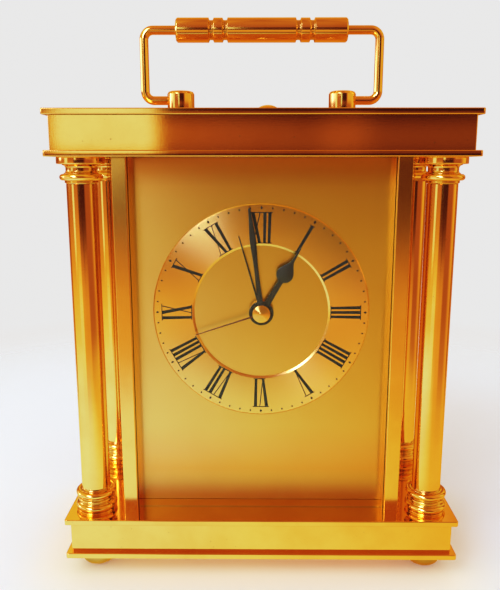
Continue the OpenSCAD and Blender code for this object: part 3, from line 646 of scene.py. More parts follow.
for n in ("base_bottom_plate", "base_top_plate", "cornice_bottom_plate", "cornice_top_plate"):
    lo, hi = bx(n)
    bm, _ = new_bm()
    holes = []
    if n == "cornice_top_plate":
        b_lo, b_hi = bx("alarm_button")
        bxc = (b_lo.x + b_hi.x) / 2
        holes.append(circle(bxc, 0.0, 4.43, 72))
    prism_holes(bm, rounded_rect(hi.x, hi.y, 0.9, 6), holes, lo.z, hi.z, top_place, edge=0.32, segs=4)
    finish_mesh(n.replace("_plate", "_plate_skin"), bm, "case", m_sheet, (n,), weighted=True)

for n in ("base_band", "cornice_band"):
    lo, hi = bx(n)
    bm, _ = new_bm()
    prism_holes(bm, rounded_rect(hi.x, hi.y, 0.45, 5), [rounded_rect(hi.x - 3, hi.y - 3, 0.2, 2)], lo.z, hi.z, top_place, edge=0.06, segs=1, hole_edge=0.06)
    finish_mesh(n + "_skin", bm, "case", m_band, (n,), weighted=True)

# ---------------------------------------------------------------- feet and columns

cb_lo, cb_hi = bx("column_bases")
cc_lo, cc_hi = bx("column_capitals")
sh_lo, sh_hi = bx("column_shafts")
SHAFT_R = 5.0
COL_X, COL_Y = sh_hi.x - SHAFT_R, sh_hi.y - SHAFT_R
CORNERS = [(sx * COL_X, sy * COL_Y) for sx in (-1, 1) for sy in (-1, 1)]
ft_lo, ft_hi = bx("bun_feet")

foot_prof = fillet([(0, 0.0), (2.9, 0.0), (3.6, 0.18)], [0, 0.5, 0]) + arc(2.9, 3.7, 3.55, -72, 12, 12) \
    + fillet([(6.36, 4.55), (6.15, 4.95), (5.7, 5.15), (5.7, 5.45), (6.1, 5.6), (6.25, 5.9), (6.1, 6.3), (5.85, 6.42), (5.85, 6.5), (0, 6.5)],
             [0, 0.15, 0.1, 0.1, 0.15, 0.2, 0.15, 0.03, 0.02, 0], 4)
bm, lay = new_bm()
for x, y in CORNERS:
    lathe(bm, foot_prof, (x, y, 0), "Z", 96, lay)
finish_mesh("feet_turned", bm, "case", m_feet_shaded, ("bun_feet",))

base_prof = fillet([(0, 0), (7.15, 0), (7.15, 0.55), (6.75, 0.7)], [0, 0.12, 0.12, 0]) + arc(6.2, 1.8, 1.18, -66, 78, 16) \
    + fillet([(6.42, 2.98), (6.3, 3.2), (5.98, 3.45), (5.98, 3.7), (6.1, 3.76)], [0, 0.08, 0.25, 0.1, 0], 4) \
    + arc(5.98, 4.3, 0.55, -78, 78, 10) + fillet([(6.1, 4.84), (5.95, 4.95), (5.95, 5.3), (6.3, 5.58)], [0, 0.08, 0.3, 0], 4) \
    + arc(6.1, 6.7, 1.14, -78, 84, 16) + fillet([(6.1, 7.84), (5.75, 7.86), (5.7, 8.02), (5.3, 8.12), (5.06, 8.4), (5.0, 8.75), (0, 8.75)], [0, 0.04, 0.06, 0.2, 0.3, 0.05, 0], 4)
cap_prof = fillet([(0, -0.25), (5.0, -0.25), (5.18, 0.0), (5.5, 0.12), (5.5, 0.82), (5.75, 0.92)], [0, 0.05, 0.1, 0.12, 0.08, 0]) + arc(6.12, 1.95, 1.05, -76, 80, 16) \
    + fillet([(6.2, 3.0), (5.72, 3.05), (5.68, 3.22), (5.25, 3.5), (5.05, 3.95), (5.05, 5.1), (5.3, 5.6), (5.95, 5.95), (6.2, 6.05), (6.2, 6.2), (7.75, 6.28), (8.0, 6.5), (8.0, 8.3), (7.8, 8.6), (0, 8.6)],
             [0, 0.04, 0.04, 0.25, 0.5, 0.5, 0.4, 0.2, 0.05, 0.04, 0.12, 0.15, 0.18, 0.1, 0], 4)
bm, lay = new_bm()
for x, y in CORNERS:
    lathe(bm, base_prof, (x, y, cb_lo.z), "Z", 96, lay)
finish_mesh("column_bases_turned", bm, "case", m_turned, ("column_bases",))
bm, lay = new_bm()
for x, y in CORNERS:
    lathe(bm, cap_prof, (x, y, cc_lo.z), "Z", 96, lay)
finish_mesh("column_capitals_turned", bm, "case", m_turned, ("column_capitals",))
bm, lay = new_bm()
H = sh_hi.z - sh_lo.z
for x, y in CORNERS:
    r = SHAFT_R + (0.5 if y > 0 else 0.1)
    lathe(bm, [(0, 0.4), (r, 0.4)] + [(r - 0.02 * math.sin(math.pi * k / 12) ** 2, 0.4 + (H - 0.7) * k / 12) for k in range(1, 12)] + [(r, H - 0.3), (0, H - 0.3)],
          (x, y, sh_lo.z), "Z", 96, lay)
finish_mesh("column_shafts_turned", bm, "case", m_turned, ("column_shafts",))

# ---------------------------------------------------------------- posts, panels, door, glass

pz0, pz1 = bx("front_pilasters")[0].z, bx("front_pilasters")[1].z


def post_outline(front):
    pts = [(45, -24), (50, -24), (50, -13), (48.6, -13), (48.6, -14.5), (46.9, -14.5), (46.9, -13), (45, -13)]
    rad = [0.3, 0.3, 0.2, 0.05, 0.05, 0.05, 0.05, 0.2]
    if front:
        pts += [(45, -14.97), (46.5, -14.97), (46.5, -16.03), (45, -16.03), (45, -20.85), (46.5, -20.85), (46.5, -22.45), (45, -22.45)]
        rad += [0.05] * 8
    loop = [pts[-1]] + pts + [pts[0]]
    rr = [0] + rad + [0]
    return fillet(loop, rr, 4)[1:-1]


for n, front in (("front_pilasters", True), ("rear_posts", False)):
    bm, _ = new_bm()
    for s in (-1, 1):
        o = post_outline(front)
        if not front:
            o = [(u, -v) for u, v in o]
        o = [(s * u, v) for u, v in o]
        prism_holes(bm, o, [], pz0, pz1, top_place, edge=0.0)
    finish_mesh(n + "_milled", bm, "case", m_pilaster, (n,), weighted=True)

lo, hi = bx("side_panels")
bm, _ = new_bm()
for s in (-1, 1):
    x0, x1 = sorted((s * hi.x, s * (hi.x - 1.5)))
    box_bevel(bm, (x0, lo.y, lo.z), (x1, hi.y, hi.z), 0.12, 2)
finish_mesh("side_panels_sheet", bm, "case", m_side, ("side_panels",), weighted=True)

dl, dh = bx("back_door")
kl, kh = bx("door_knob")
bm, lay = new_bm()
slab_z0, slab_z1 = dl.z + 1.6, dh.z - 1.6
box_bevel(bm, (-44.8, 22.0, slab_z0), (44.8, 23.5, slab_z1), 0.3, 3)
for z0, z1 in ((dl.z, slab_z0), (slab_z1, dh.z)):
    lathe(bm, fillet([(0, z0), (1.0, z0), (1.0, z1), (0, z1)], [0, 0.15, 0.15, 0]), (-43.2, 22.75, 0), "Z", 40, lay)
finish_mesh("back_door_leaf", bm, "door", m_door, ("back_door",), weighted=True)
bm, lay = new_bm()
kz = (kl.z + kh.z) / 2
kp = fillet([(0, 0.02), (2.75, 0.02), (2.75, 0.55), (2.0, 0.85), (1.45, 1.3), (1.4, 2.3), (2.1, 3.0), (3.0, 3.65), (3.2, 4.4), (2.8, 5.2), (1.6, 5.75), (0, 5.9)],
            [0, 0.12, 0.15, 0.4, 0.4, 0.5, 0.5, 0.5, 0.6, 0.6, 0.8, 0], 4)
lathe(bm, kp, (39.0, 23.5, kz), "Y", 72, lay)
finish_mesh("door_knob_turned", bm, "door", m_button, ("door_knob",))

gl_lo, gl_hi = bx("front_glass")
bm, _ = new_bm()
box_bevel(bm, gl_lo, gl_hi, 0.2, 2)
finish_mesh("front_glass_pane", bm, "case", m_glass, ("front_glass",), weighted=True)

# ---------------------------------------------------------------- dial

RING_Y = cr_lo.y                      # front face of the ring
RO = (cr_hi.x - cr_lo.x) / 2
RI = 23.8
bm, lay = new_bm()
ring_prof = fillet([(RI, 0.0), (RO, 0.0), (RO, 0.22), (RO - 0.42, 0.6), (RI + 0.75, 0.6), (RI, 0.2)], [0, 0.0, 0.06, 0.12, 0.2, 0.05], 4)
lathe(bm, [(r, -h) for r, h in ring_prof], (DIAL.x, RING_Y + 0.6, DIAL.z), "Y", 256, lay)
finish_mesh("chapter_ring_turned", bm, "case", m_ring, ("chapter_ring",), angle=50)


def dial_place(theta_deg, y_back, y_front):
    """(u across, v outward) at a clock angle -> mm; w runs from the back face to the front face."""
    t = math.radians(theta_deg)

    def place(u, v, w):
        return (DIAL.x + u * math.cos(t) + v * math.sin(t), w, DIAL.z - u * math.sin(t) + v * math.cos(t))
    return place


V0, V1 = 24.75, 35.35
THICK, THIN, SERIF = 1.15, 0.34, 0.30


def quad(a, b, wa, wb):
    """A straight stroke between (u, v) points with its own widths, cut square to the radial lines."""
    return [(a[0] - wa / 2, a[1]), (a[0] + wa / 2, a[1]), (b[0] + wb / 2, b[1]), (b[0] - wb / 2, b[1])]


def roman(text):
    """Strokes of a Roman numeral as closed (u, v) outlines."""
    adv = {"I": 1.75, "V": 3.9, "X": 3.9}
    w = [adv[c] for c in text]
    gap = {"IV": 0.2, "VI": 0.1, "IX": 0.25, "XI": 0.2}
    total = sum(w) + sum(gap.get(text[i:i + 2], 0) for i in range(len(text) - 1))
    u = -total / 2
    strokes = []
    lo_v, hi_v = V0, V1
    for i, c in enumerate(text):
        cx = u + adv[c] / 2
        if c == "I":
            strokes.append(quad((cx, lo_v), (cx, hi_v), THICK * 0.92, THICK))
        elif c == "V":
            strokes.append(quad((cx + 0.12, lo_v), (cx - 1.15, hi_v), THICK * 0.85, THICK * 1.08))
            strokes.append(quad((cx + 0.22, lo_v + 0.1), (cx + 1.35, hi_v), THIN, THIN))
        else:
            strokes.append(quad((cx + 1.15, lo_v), (cx - 1.15, hi_v), THICK, THICK * 1.05))
            strokes.append(quad((cx - 1.25, lo_v), (cx + 1.3, hi_v), THIN, THIN))
        u += adv[c] + gap.get(text[i:i + 2], 0)
    half = total / 2 - 0.02
    for v in (lo_v, hi_v):
        a, b = (half, -half)
        if v == lo_v and text[0] == "V":
            b = -half + 1.2
        if v == lo_v and text[-1] == "V":
            a = half - 1.2
        strokes.append([(b - 0.12, v - SERIF / 2), (a + 0.12, v - SERIF / 2), (a + 0.12, v + SERIF / 2), (b - 0.12, v + SERIF / 2)])
    # letters taper slightly towards the centre of the dial
    return [[(p[0] * (0.90 + 0.10 * (p[1] - V0) / (V1 - V0)), p[1]) for p in s] for s in strokes]


bm, _ = new_bm()
k = 0
for hour, text in enumerate(("XII", "I", "II", "III", "IIII", "V", "VI", "VII", "VIII", "IX", "X", "XI")):
    for j, s in enumerate(roman(text)):
        y = RING_Y - 0.03 - 0.002 * (j % 5)          # overlapping strokes never share a plane
        prism_holes(bm, s, [], RING_Y + 0.01, y, dial_place(30 * hour, 0, 0), edge=0.0)
finish_mesh("hour_numerals", bm, "case", m_ink, (), angle=20)

bm, _ = new_bm()
for i in range(60):
    big = i % 5 == 0
    r = 36.95
    if big:
        o = [(0, -0.62), (0.44, 0), (0, 0.62), (-0.44, 0)]
    else:
        o = [(0.27 * math.cos(a * math.pi / 8), 0.36 * math.sin(a * math.pi / 8)) for a in range(16)]
    o = [(u, r + v) for u, v in o]
    prism_holes(bm, o, [], RING_Y + 0.01, RING_Y - 0.03, dial_place(6 * i, 0, 0), edge=0.0)
finish_mesh("minute_marks", bm, "case", m_ink, (), angle=20)

# ---------------------------------------------------------------- hands


def spline(pts, n=6):
    """Catmull-Rom through (s, w) points."""
    out = []
    for i in range(len(pts) - 1):
        p0 = pts[max(0, i - 1)]
        p1, p2 = pts[i], pts[i + 1]
        p3 = pts[min(len(pts) - 1, i + 2)]
        for k in range(n):
            t = k / n
            out.append(tuple(0.5 * ((2 * p1[a]) + (-p0[a] + p2[a]) * t + (2 * p0[a] - 5 * p1[a] + 4 * p2[a] - p3[a]) * t * t
                                    + (-p0[a] + 3 * p1[a] - 3 * p2[a] + p3[a]) * t ** 3) for a in (0, 1)))
    out.append(pts[-1])
    return out


def hand(name, node, body, theta, profile, hub_r, mat, edge=0.07, tip_round=True):
    """One hand: hub disc and blade in a single outline, with softened rims."""
    lo, hi = bx(node)
    prof = spline(profile)
    right = [(w, s) for s, w in prof]
    left = [(-w, s) for s, w in reversed(prof)]
    s_in = math.sqrt(max(0.01, hub_r ** 2 - profile[0][1] ** 2))
    a_in = math.degrees(math.atan2(s_in, profile[0][1]))
    hub = [(hub_r * math.cos(math.radians(a)), hub_r * math.sin(math.radians(a)))
           for a in [180 - a_in + (180 + 2 * a_in) * k / 56 for k in range(57)]]
    right = [p for p in right if math.hypot(*p) > hub_r + 0.05]
    left = [p for p in left if math.hypot(*p) > hub_r + 0.05]
    outline = hub + right + left
    bm, _ = new_bm()
    pl = dial_place(theta, 0, 0)
    prism_holes(bm, outline, [], hi.y, lo.y, pl, edge=0.0) if edge <= 0 else prism_holes(bm, outline, [], -hi.y, -lo.y, lambda u, v, w: pl(u, v, -w), edge=edge, segs=2)
    return finish_mesh(name, bm, body, mat, (node,), weighted=True)


ANG = {"minute": 353.4, "hour": 30.6, "second": 251.8, "alarm": 343.7}
minute_prof = [(3.2, 1.08), (6, 0.95), (10, 0.8), (14, 0.71), (17, 0.72), (19.5, 0.8), (21.7, 0.93), (23.7, 1.05), (25.4, 1.1), (27, 1.07),
               (28.7, 0.97), (30.6, 0.81), (32.6, 0.65), (34.8, 0.51), (36.8, 0.4), (37.1, 0.2)]
hour_prof = [(4.0, 1.12), (8, 1.0), (12.4, 0.92), (12.95, 0.95), (13.15, 1.1)] + \
    [(13.3 + 0.35 * i, math.sqrt(9 - (16.1 - 13.3 - 0.35 * i) ** 2)) for i in range(9)] + \
    [(16.5 + 0.45 * i, 0.5 + 1.25 * (1 + math.cos(math.radians(30 * (0.4 + 0.45 * i))))) for i in range(13)] + [(24, 0.38), (26.7, 0.22), (26.9, 0.1)]
alarm_prof = [(3.6, 0.34), (8, 0.27), (14, 0.25), (22, 0.21), (28, 0.13), (28.2, 0.08)]
second_prof = [(2.0, 0.3), (8, 0.26), (16, 0.22), (24.1, 0.15), (24.3, 0.08)]

hand("alarm_hand_blade", "alarm_hand", "alarm_tube", ANG["alarm"], alarm_prof, 3.9, m_black, 0.05)
hand("hour_hand_blade", "hour_hand", "hour_tube", ANG["hour"], hour_prof, 4.35, m_black, 0.07)
hand("minute_hand_blade", "minute_hand", "centre_arbor", ANG["minute"], minute_prof, 3.4, m_black, 0.06)
hand("second_hand_blade", "second_hand", "second_arbor", ANG["second"], second_prof, 2.2, m_second, 0.05)

cp_lo, cp_hi = bx("centre_cap")
bm, lay = new_bm()
cap = fillet([(0, 0), (3.12, 0), (3.12, 0.3), (2.95, 0.52), (1.5, 0.82), (0.35, 1.0), (0, 1.0)], [0, 0.05, 0.12, 0.2, 0.6, 0.3, 0], 4)
lathe(bm, [(r, -h) for r, h in cap], (DIAL.x, cp_hi.y, DIAL.z), "Y", 96, lay)
finish_mesh("centre_cap_spun", bm, "second_arbor", m_spun, ("centre_cap",), angle=40)

# ---------------------------------------------------------------- handle

hw_lo, hw_hi = bx("handle_wire")
hg_lo, hg_hi = bx("handle_grip")
hp_lo, hp_hi = bx("handle_posts")
PIVOT_Z = hp_lo.z + 5.0
GZ = (hg_lo.z + hg_hi.z) / 2
WR, WX, BR = 1.55, hw_hi.x - 1.55, 3.2


def sweep(bm, path, r, segs=40):
    """Round bar along a path in the XZ plane (mm), closed at both ends."""
    rings = []
    n = len(path)
    for i, p in enumerate(path):
        a, b = Vector(path[max(0, i - 1)]), Vector(path[min(n - 1, i + 1)])
        t = (b - a).normalized()
        side = Vector((0, 1, 0))
        up = t.cross(side).normalized()
        rr = r
        rings.append([bm.verts.new((Vector(p) + side * rr * math.cos(2 * math.pi * k / segs) + up * rr * math.sin(2 * math.pi * k / segs)) * MM) for k in range(segs)])
    for a, b in zip(rings, rings[1:]):
        for k in range(segs):
            k2 = (k + 1) % segs
            bm.faces.new((a[k], a[k2], b[k2], b[k]))
    bm.faces.new(list(reversed(rings[0])))
    bm.faces.new(rings[-1])


def wire_path(s):
    pts = [(26.0, 0, 0), (WX - BR, 0, 0)]
    pts += [(WX - BR + BR * math.sin(math.radians(a)), 0, BR - BR * math.cos(math.radians(a))) for a in range(6, 91, 6)]
    rise = GZ - PIVOT_Z
    m = 12
    pts += [(WX, 0, BR + (rise - 2 * BR) * k / m) for k in range(1, m + 1)]
    pts += [(WX - BR + BR * math.cos(math.radians(a)), 0, rise - BR + BR * math.sin(math.radians(a))) for a in range(6, 91, 6)]
    pts += [(hg_hi.x - 0.6, 0, rise), (20.0, 0, rise)]
    return [(s * x, 0, PIVOT_Z + z) for x, _, z in pts]


bm, _ = new_bm()
for s in (-1, 1):
    sweep(bm, wire_path(s), WR)
finish_mesh("handle_wire_bent", bm, "handle", m_wire, ("handle_wire",))

R = (hg_hi.z - hg_lo.z) / 2
half = hg_hi.x
g_in = R - 0.85
side_prof = [(0, half - 1.0), (WR + 0.4, half - 1.0), (WR + 0.7, half - 0.25), (R - 0.55, half), (R, half - 0.55),
             (R, 18.65), (g_in, 18.35), (g_in, 17.15), (R - 0.05, 16.85), (R - 0.05, 13.75), (g_in, 13.45), (g_in, 12.25), (R, 11.95)]
side_rad = [0, 0.15, 0.25, 0.25, 0.3, 0.12, 0.25, 0.25, 0.2, 0.2, 0.25, 0.25, 0.12]
half_profile = side_prof
full = [(r, -x) for r, x in half_profile] + [(r, x) for r, x in reversed(half_profile)]
full_r = side_rad + list(reversed(side_rad))
grip = fillet(full, full_r, 4)
bm, lay = new_bm()
lathe(bm, grip, (0, 0, GZ), "X", 96, lay)
finish_mesh("handle_grip_turned", bm, "handle", m_grip, ("handle_grip",))

bm, lay = new_bm()
pp = fillet([(0, 0), (4.8, 0), (4.8, 0.9), (4.55, 1.05), (4.55, 1.25), (4.8, 1.4), (4.8, 7.2), (4.35, 7.95), (3.6, 8.2), (0, 8.25)], [0, 0.1, 0.06, 0.05, 0.05, 0.06, 0.35, 0.4, 0.5, 0], 4)
for s in (-1, 1):
    lathe(bm, pp, (s * (hp_hi.x - 4.8), 0, hp_lo.z), "Z", 96, lay)
posts = finish_mesh("handle_posts_turned", bm, "case", m_turned, ("handle_posts",))
for s in (-1, 1):
    px = hp_hi.x - 4.8
    cut(posts, (s * (px - 3.0), 0, PIVOT_Z), (s * (px + 7), 0, PIVOT_Z), WR + 0.06)

# ---------------------------------------------------------------- button

b_lo, b_hi = bx("alarm_button")
bxc = (b_lo.x + b_hi.x) / 2
top_z = bx("cornice_top_plate")[1].z
under = top_z - 2.0
bp = fillet([(0, b_lo.z), (1.5, b_lo.z), (1.5, under - 1.3), (5.1, under - 1.3), (5.1, under - 0.05), (4.35, under - 0.05), (4.35, top_z + 0.85)],
            [0, 0.15, 0.05, 0.15, 0.1, 0.03, 0], 3) + \
    [(4.35 * math.cos(math.radians(a)), top_z + 0.9 + 2.6 * math.sin(math.radians(a))) for a in range(4, 90, 5)] + [(0, top_z + 3.5)]
bm, lay = new_bm()
lathe(bm, bp, (bxc, 0, 0), "Z", 96, lay)
finish_mesh("alarm_button_turned", bm, "button", m_button, ("alarm_button",))

# the button's return spring: a round wire coil
sp_lo, sp_hi = bx("button_spring")
scx, spw, spturns, sph = (sp_lo.x + sp_hi.x) / 2, 0.28, 4, sp_hi.z - sp_lo.z
spr = (sp_hi.x - sp_lo.x) / 2 - spw
bm, _ = new_bm()
rings = []
for i in range(36 * spturns + 1):
    u = i / (36 * spturns)
    a = 2 * math.pi * spturns * u
    zc = sp_lo.z + spw + (sph - 2 * spw) * u
    rings.append([bm.verts.new(((scx + (spr + spw * math.cos(b)) * math.cos(a)) / 1000, (spr + spw * math.cos(b)) * math.sin(a) / 1000, (zc + spw * math.sin(b)) / 1000))
                  for b in (2 * math.pi * k / 10 for k in range(10))])
for p, q in zip(rings, rings[1:]):
    for k in range(10):
        bm.faces.new((p[k], q[k], q[(k + 1) % 10], p[(k + 1) % 10]))
bm.faces.new(rings[0])
bm.faces.new(rings[-1][::-1])
coil = finish_mesh("button_spring_coil", bm, "case", m_steel, ("button_spring",), angle=60)
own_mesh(coil)

# ---------------------------------------------------------------- studio

scene = bpy.context.scene
world = bpy.data.worlds.new("studio")
scene.world = world
world.use_nodes = True
t = Tree(world.node_tree)
tc = t.n("ShaderNodeTexCoord")
sep = t.n("ShaderNodeSeparateXYZ")
t.put(sep.inputs[0], tc.outputs["Generated"])
X, Y, Z = sep.outputs
EL = t.math("MULTIPLY", t.math("ARCSINE", Z), 180 / math.pi)
AZ = t.math("MULTIPLY", t.math("ARCTAN2", X, t.math("MULTIPLY", Y, -1.0)), 180 / math.pi)
ELN = t.math("DIVIDE", t.math("ADD", EL, 90.0), 180.0)


def el_ramp(stops):
    return t.ramp(ELN, [((e + 90) / 180.0, v) for e, v in stops], "LINEAR")


SHELL = [(16, 0.42), (25, 0.42), (38, 0.46), (60, 0.50), (90, 0.42)]
FRONT_L = el_ramp([(-90, 0.24), (-34, 0.26), (-28, 0.34), (-24, 0.62), (-16, 0.68), (-11, 0.66), (-8, 0.50), (-5, 0.17), (-1.5, 0.08), (0.4, 0.20), (1.1, 0.37), (2.5, 0.47), (3.6, 0.42), (4.3, 0.18), (8, 0.14), (12, 0.22)] + SHELL)
FRONT_R = el_ramp([(-90, 0.23), (-34, 0.25), (-28, 0.32), (-24, 0.60), (-16, 0.66), (-11, 0.62), (-8, 0.46), (-5, 0.15), (-1.5, 0.06), (0.6, 0.09), (1.3, 0.27), (2.5, 0.30), (3.4, 0.25), (4.1, 0.05), (8, 0.08), (12, 0.18)] + SHELL)
LMID = el_ramp([(-90, 0.42), (-34, 0.52), (-27, 0.66), (-21, 0.90), (-12, 0.88), (-7, 0.68), (-3, 0.50), (4, 0.42), (15, 0.55), (40, 0.72), (65, 0.62), (90, 0.5)])
LEFT = el_ramp([(-90, 0.50), (-36, 0.60), (-28, 0.75), (-23, 0.97), (-20, 1.0), (-12, 0.78), (-7, 0.60), (-3, 0.48), (4, 0.50), (14, 0.62), (35, 0.80), (60, 0.66), (90, 0.5)])
RMID = el_ramp([(-90, 0.45), (-32, 0.55), (-26, 0.62), (-18, 0.52), (-12, 0.42), (-3, 0.40), (5, 0.42), (20, 0.52), (40, 0.62), (65, 0.58), (90, 0.5)])
RIGHT = el_ramp([(-90, 0.42), (-34, 0.56), (-25, 0.72), (-12, 0.60), (-3, 0.72), (4, 0.74), (12, 0.76), (32, 0.80), (60, 0.62), (90, 0.5)])
BACK = el_ramp([(-90, 0.42), (-36, 0.50), (-24, 0.66), (-14, 0.60), (-5, 0.34), (2, 0.40), (12, 0.60), (30, 0.76), (60, 0.60), (90, 0.45)])
absaz = t.math("ABSOLUTE", AZ)
T = t.mix(t.smooth(AZ, -50, -42), LEFT, LMID)
T = t.mix(t.smooth(AZ, -24, -14), T, FRONT_L)
T = t.mix(t.smooth(AZ, -14, 14), T, FRONT_R)
T = t.mix(t.smooth(AZ, 24, 36), T, RMID)
T = t.mix(t.smooth(AZ, 64, 92), T, RIGHT)
T = t.mix(t.smooth(absaz, 116, 142), T, BACK)


def card(T, az, el, soft, value, amount=1.0):
    """A soft rectangular panel in the studio: brightness value between two azimuths and two elevations."""
    m = t.math("MULTIPLY", t.band(AZ, az[0], az[1], soft), t.band(EL, el[0], el[1], max(soft, 1.5)))
    return t.mix(t.math("MULTIPLY", m, amount), T, (value,) * 3)


T = card(T, (-17.0, -8.2), (0.5, 16.0), 0.8, 0.93, 1.0)
T = card(T, (-66.0, -50.0), (-8.0, 14.0), 2.0, 0.93, 1.0)
T = card(T, (-44.0, -17.0), (12.5, 24.0), 3.0, 0.97, 1.0)
T = card(T, (38.0, 84.0), (3.0, 14.0), 2.0, 0.73, 0.9)
T = card(T, (5.5, 9.5), (1.0, 4.0), 1.5, 0.46, 0.6)
T = card(T, (3.0, 9.0), (-8.0, -3.0), 2.5, 0.12, 0.6)
T = card(T, (108.0, 122.0), (-40.0, 50.0), 5.0, 0.26, 0.8)
T = card(T, (-124.0, -112.0), (-40.0, 7.0), 4.0, 0.26, 0.8)
T = card(T, (-150.0, -136.0), (-10.0, 60.0), 4.0, 0.30, 0.75)
T = card(T, (150.0, 162.0), (-10.0, 60.0), 4.0, 0.35, 0.7)

# brightness to colour, as polished brass throws it back: near black, deep red, orange, yellow, near white
ENV_STOPS = [(0.0, (0.016, 0.004, 0.004)), (0.12, (0.052, 0.010, 0.010)), (0.25, (0.17, 0.034, 0.020)), (0.40, (0.34, 0.088, 0.045)),
             (0.52, (0.52, 0.205, 0.065)), (0.64, (0.72, 0.385, 0.095)), (0.75, (0.79, 0.62, 0.16)), (0.86, (0.80, 0.90, 0.50)), (1.0, (0.80, 1.12, 1.25))]
ENV = t.ramp(T, ENV_STOPS)
# small strong sources for the white glints: a lamp high on the left and a window slit on the left
lamp = t.math("MULTIPLY", t.band(AZ, -52.0, -28.0, 3.0), t.band(EL, 32.0, 52.0, 3.0))
slit = t.math("MULTIPLY", t.band(AZ, -103.0, -88.0, 2.0), t.band(EL, 0.5, 17.0, 2.0))
glare = t.math("MULTIPLY", t.band(AZ, -124.0, -66.0, 4.0), t.band(EL, 4.0, 14.0, 1.5))
near = t.math("MULTIPLY", t.band(AZ, -33.0, -19.0, 3.0), t.band(EL, 13.0, 26.0, 3.0))
lamp = t.math("ADD", lamp, t.math("MULTIPLY", near, 1.8))
glint = t.math("ADD", t.math("MULTIPLY", lamp, 5.0), t.math("ADD", t.math("MULTIPLY", slit, 2.2), t.math("MULTIPLY", glare, 1.1)))
ENV = t.vmath("ADD", ENV, t.vmath("SCALE", (1.0, 1.25, 1.9), glint))
lp = t.n("ShaderNodeLightPath")
DIFFUSE = (0.80, 0.80, 0.80, 1.0)
CAMERA = (0.812, 0.812, 0.812, 1.0)
col = t.mix(lp.outputs["Is Diffuse Ray"], ENV, DIFFUSE)
col = t.mix(lp.outputs["Is Camera Ray"], col, CAMERA)
bg = t.n("ShaderNodeBackground")
t.put(bg.inputs[0], col)
ow = t.n("ShaderNodeOutputWorld")
t.t.links.new(bg.outputs[0], ow.inputs[0])


def area(name, loc, target, size, watts, colour=(1, 1, 1)):
    d = bpy.data.lights.new(name, "AREA")
    d.shape = "RECTANGLE"
    d.size, d.size_y = size
    d.energy = watts
    d.color = colour
    o = bpy.data.objects.new(name, d)
    scene.collection.objects.link(o)
    o.location = loc
    o.rotation_euler = (Vector(target) - Vector(loc)).to_track_quat("-Z", "Y").to_euler()
    o.visible_glossy = False
    o.visible_camera = False
    return o


area("key", (-0.75, -0.55, 0.95), (0, 0, 0.08), (0.8, 0.8), 4.0)
area("fill", (0.1, -1.1, 0.22), (0, 0, 0.03), (1.0, 0.3), 4.0)

# floor: a pale sweep that melts into the background
bm = bmesh.new()
rings = []
for r in [0.0, 0.06, 0.12, 0.2, 0.3, 0.45, 0.7, 1.0, 1.5]:
    if r == 0:
        rings.append([bm.verts.new((0, 0, 0))])
    else:
        rings.append([bm.verts.new((r * math.cos(2 * math.pi * k / 96), r * math.sin(2 * math.pi * k / 96), 0)) for k in range(96)])
for a, b in zip(rings, rings[1:]):
    for k in range(96):
        k2 = (k + 1) % 96
        bm.faces.new((a[0], b[k], b[k2]) if len(a) == 1 else (a[k], b[k], b[k2], a[k2]))
me = bpy.data.meshes.new("floor")
bm.to_mesh(me)
bm.free()
floor = bpy.data.objects.new("floor", me)
scene.collection.objects.link(floor)
floor.location.z = -0.0001


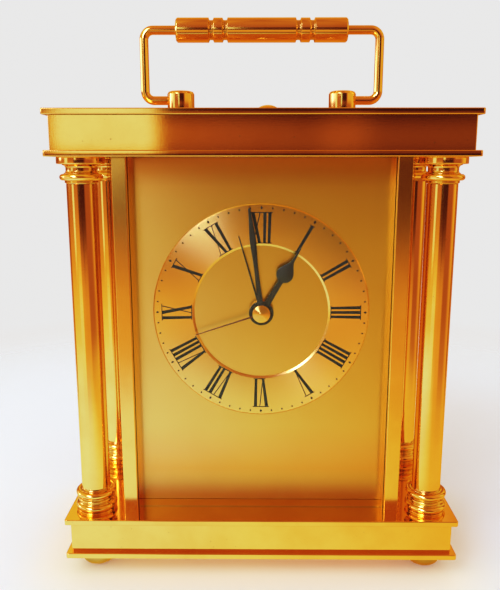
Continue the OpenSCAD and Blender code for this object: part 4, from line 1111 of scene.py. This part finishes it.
def floor_mat(t):
    tc = t.n("ShaderNodeTexCoord")
    sep = t.n("ShaderNodeSeparateXYZ")
    t.put(sep.inputs[0], tc.outputs["Object"])
    x, y, _ = sep.outputs
    dx = t.math("MAXIMUM", t.math("SUBTRACT", t.math("ABSOLUTE", x), 0.062), 0.0)
    dy = t.math("MAXIMUM", t.math("SUBTRACT", t.math("ABSOLUTE", y), 0.024), 0.0)
    d = t.math("SQRT", t.math("ADD", t.math("POWER", dx, 2.0), t.math("POWER", dy, 2.0)))
    r = t.vmath("LENGTH", tc.outputs["Object"], out=1)
    # painted light: a warm glow on the floor near the base, standing in for light thrown back by the brass
    painted_warm_glow = t.mix(t.smooth(d, -0.004, 0.035), (0.90, 0.80, 0.58), (0.815, 0.813, 0.795))
    fibre = t.noise(t.pos(), 0.9, 4.0, 0.6)
    colr = t.mix(t.math("MULTIPLY", fibre, 0.05), painted_warm_glow, (0.7, 0.69, 0.67))
    lp = t.n("ShaderNodeLightPath")
    glossy = lp.outputs["Is Glossy Ray"]
    df = t.n("ShaderNodeBsdfDiffuse")
    t.put(df.inputs[0], colr)
    t.put(df.inputs["Normal"], t.bump(fibre, 0.02))
    # what polished metal sees of the table, painted as a glow seen only in reflections: painted light bright on the
    # left, warmer on the right, painted shade close under the base
    floor_glow_tone = t.ramp(t.math("DIVIDE", t.math("ADD", x, 0.13), 0.26, clamp=True), [(0.0, 0.99), (0.30, 0.92), (0.55, 0.84), (0.80, 0.745), (1.0, 0.73)])
    floor_glow_tone = t.math("MULTIPLY", floor_glow_tone, t.math("ADD", 0.72, t.math("MULTIPLY", 0.28, t.smooth(d, -0.004, 0.010))))
    # the floor glows for glossy rays only: a painted reflection
    em = t.n("ShaderNodeEmission")
    t.put(em.inputs[0], t.ramp(floor_glow_tone, ENV_STOPS))
    near = t.n("ShaderNodeMixShader")
    t.put(near.inputs[0], glossy)
    t.put(near.inputs[1], df.outputs[0])
    t.put(near.inputs[2], em.outputs[0])
    tr = t.n("ShaderNodeBsdfTransparent")
    mx = t.n("ShaderNodeMixShader")
    t.put(mx.inputs[0], t.mixf(glossy, t.smooth(r, 0.14, 0.42), t.smooth(r, 0.15, 0.33)))
    t.put(mx.inputs[1], near.outputs[0])
    t.put(mx.inputs[2], tr.outputs[0])
    t.out(mx.outputs[0])


floor.data.materials.append(material("pale_floor", floor_mat))

# camera at the viewing angle of the reference view
cam_data = bpy.data.cameras.new("camera")
cam = bpy.data.objects.new("camera", cam_data)
scene.collection.objects.link(cam)
cam.location = (-0.0021, -0.2453, 0.1453)
cam.rotation_euler = (math.radians(90 - 11.161), 0, math.radians(0.474))
cam_data.sensor_fit = "AUTO"
cam_data.sensor_width = 36.0
cam_data.lens = 40.17
cam_data.clip_start = 0.005
cam_data.clip_end = 20
scene.camera = cam
scene.view_settings.view_transform = "Standard"
scene.view_settings.look = "None"
scene.view_settings.exposure = 0.0
scene.view_settings.gamma = 1.0
# camera response per channel, scene linear: warm mid tones, as a small compact camera gives
scene.view_settings.use_curve_mapping = True
curves = scene.view_settings.curve_mapping
for i, pts in enumerate((
        [(0, 0), (0.02, 0.021), (0.10, 0.115), (0.25, 0.30), (0.40, 0.50), (0.50, 0.60), (0.62, 0.70), (0.75, 0.785), (0.82, 0.82), (1, 1)],
        [(0, 0), (0.02, 0.020), (0.05, 0.052), (0.10, 0.108), (0.20, 0.22), (0.30, 0.33), (0.40, 0.445), (0.50, 0.55), (0.65, 0.68), (0.82, 0.82), (1, 1)],
        [(0, 0.002), (0.01, 0.008), (0.02, 0.014), (0.04, 0.028), (0.06, 0.047), (0.08, 0.072), (0.12, 0.12), (0.20, 0.20), (0.40, 0.41), (0.82, 0.82), (1, 1)])):
    c = curves.curves[i]
    while len(c.points) < len(pts):
        c.points.new(0.5, 0.5)
    for q, (a, b) in zip(c.points, pts):
        q.location = (a, b)
        q.handle_type = "AUTO"
curves.update()
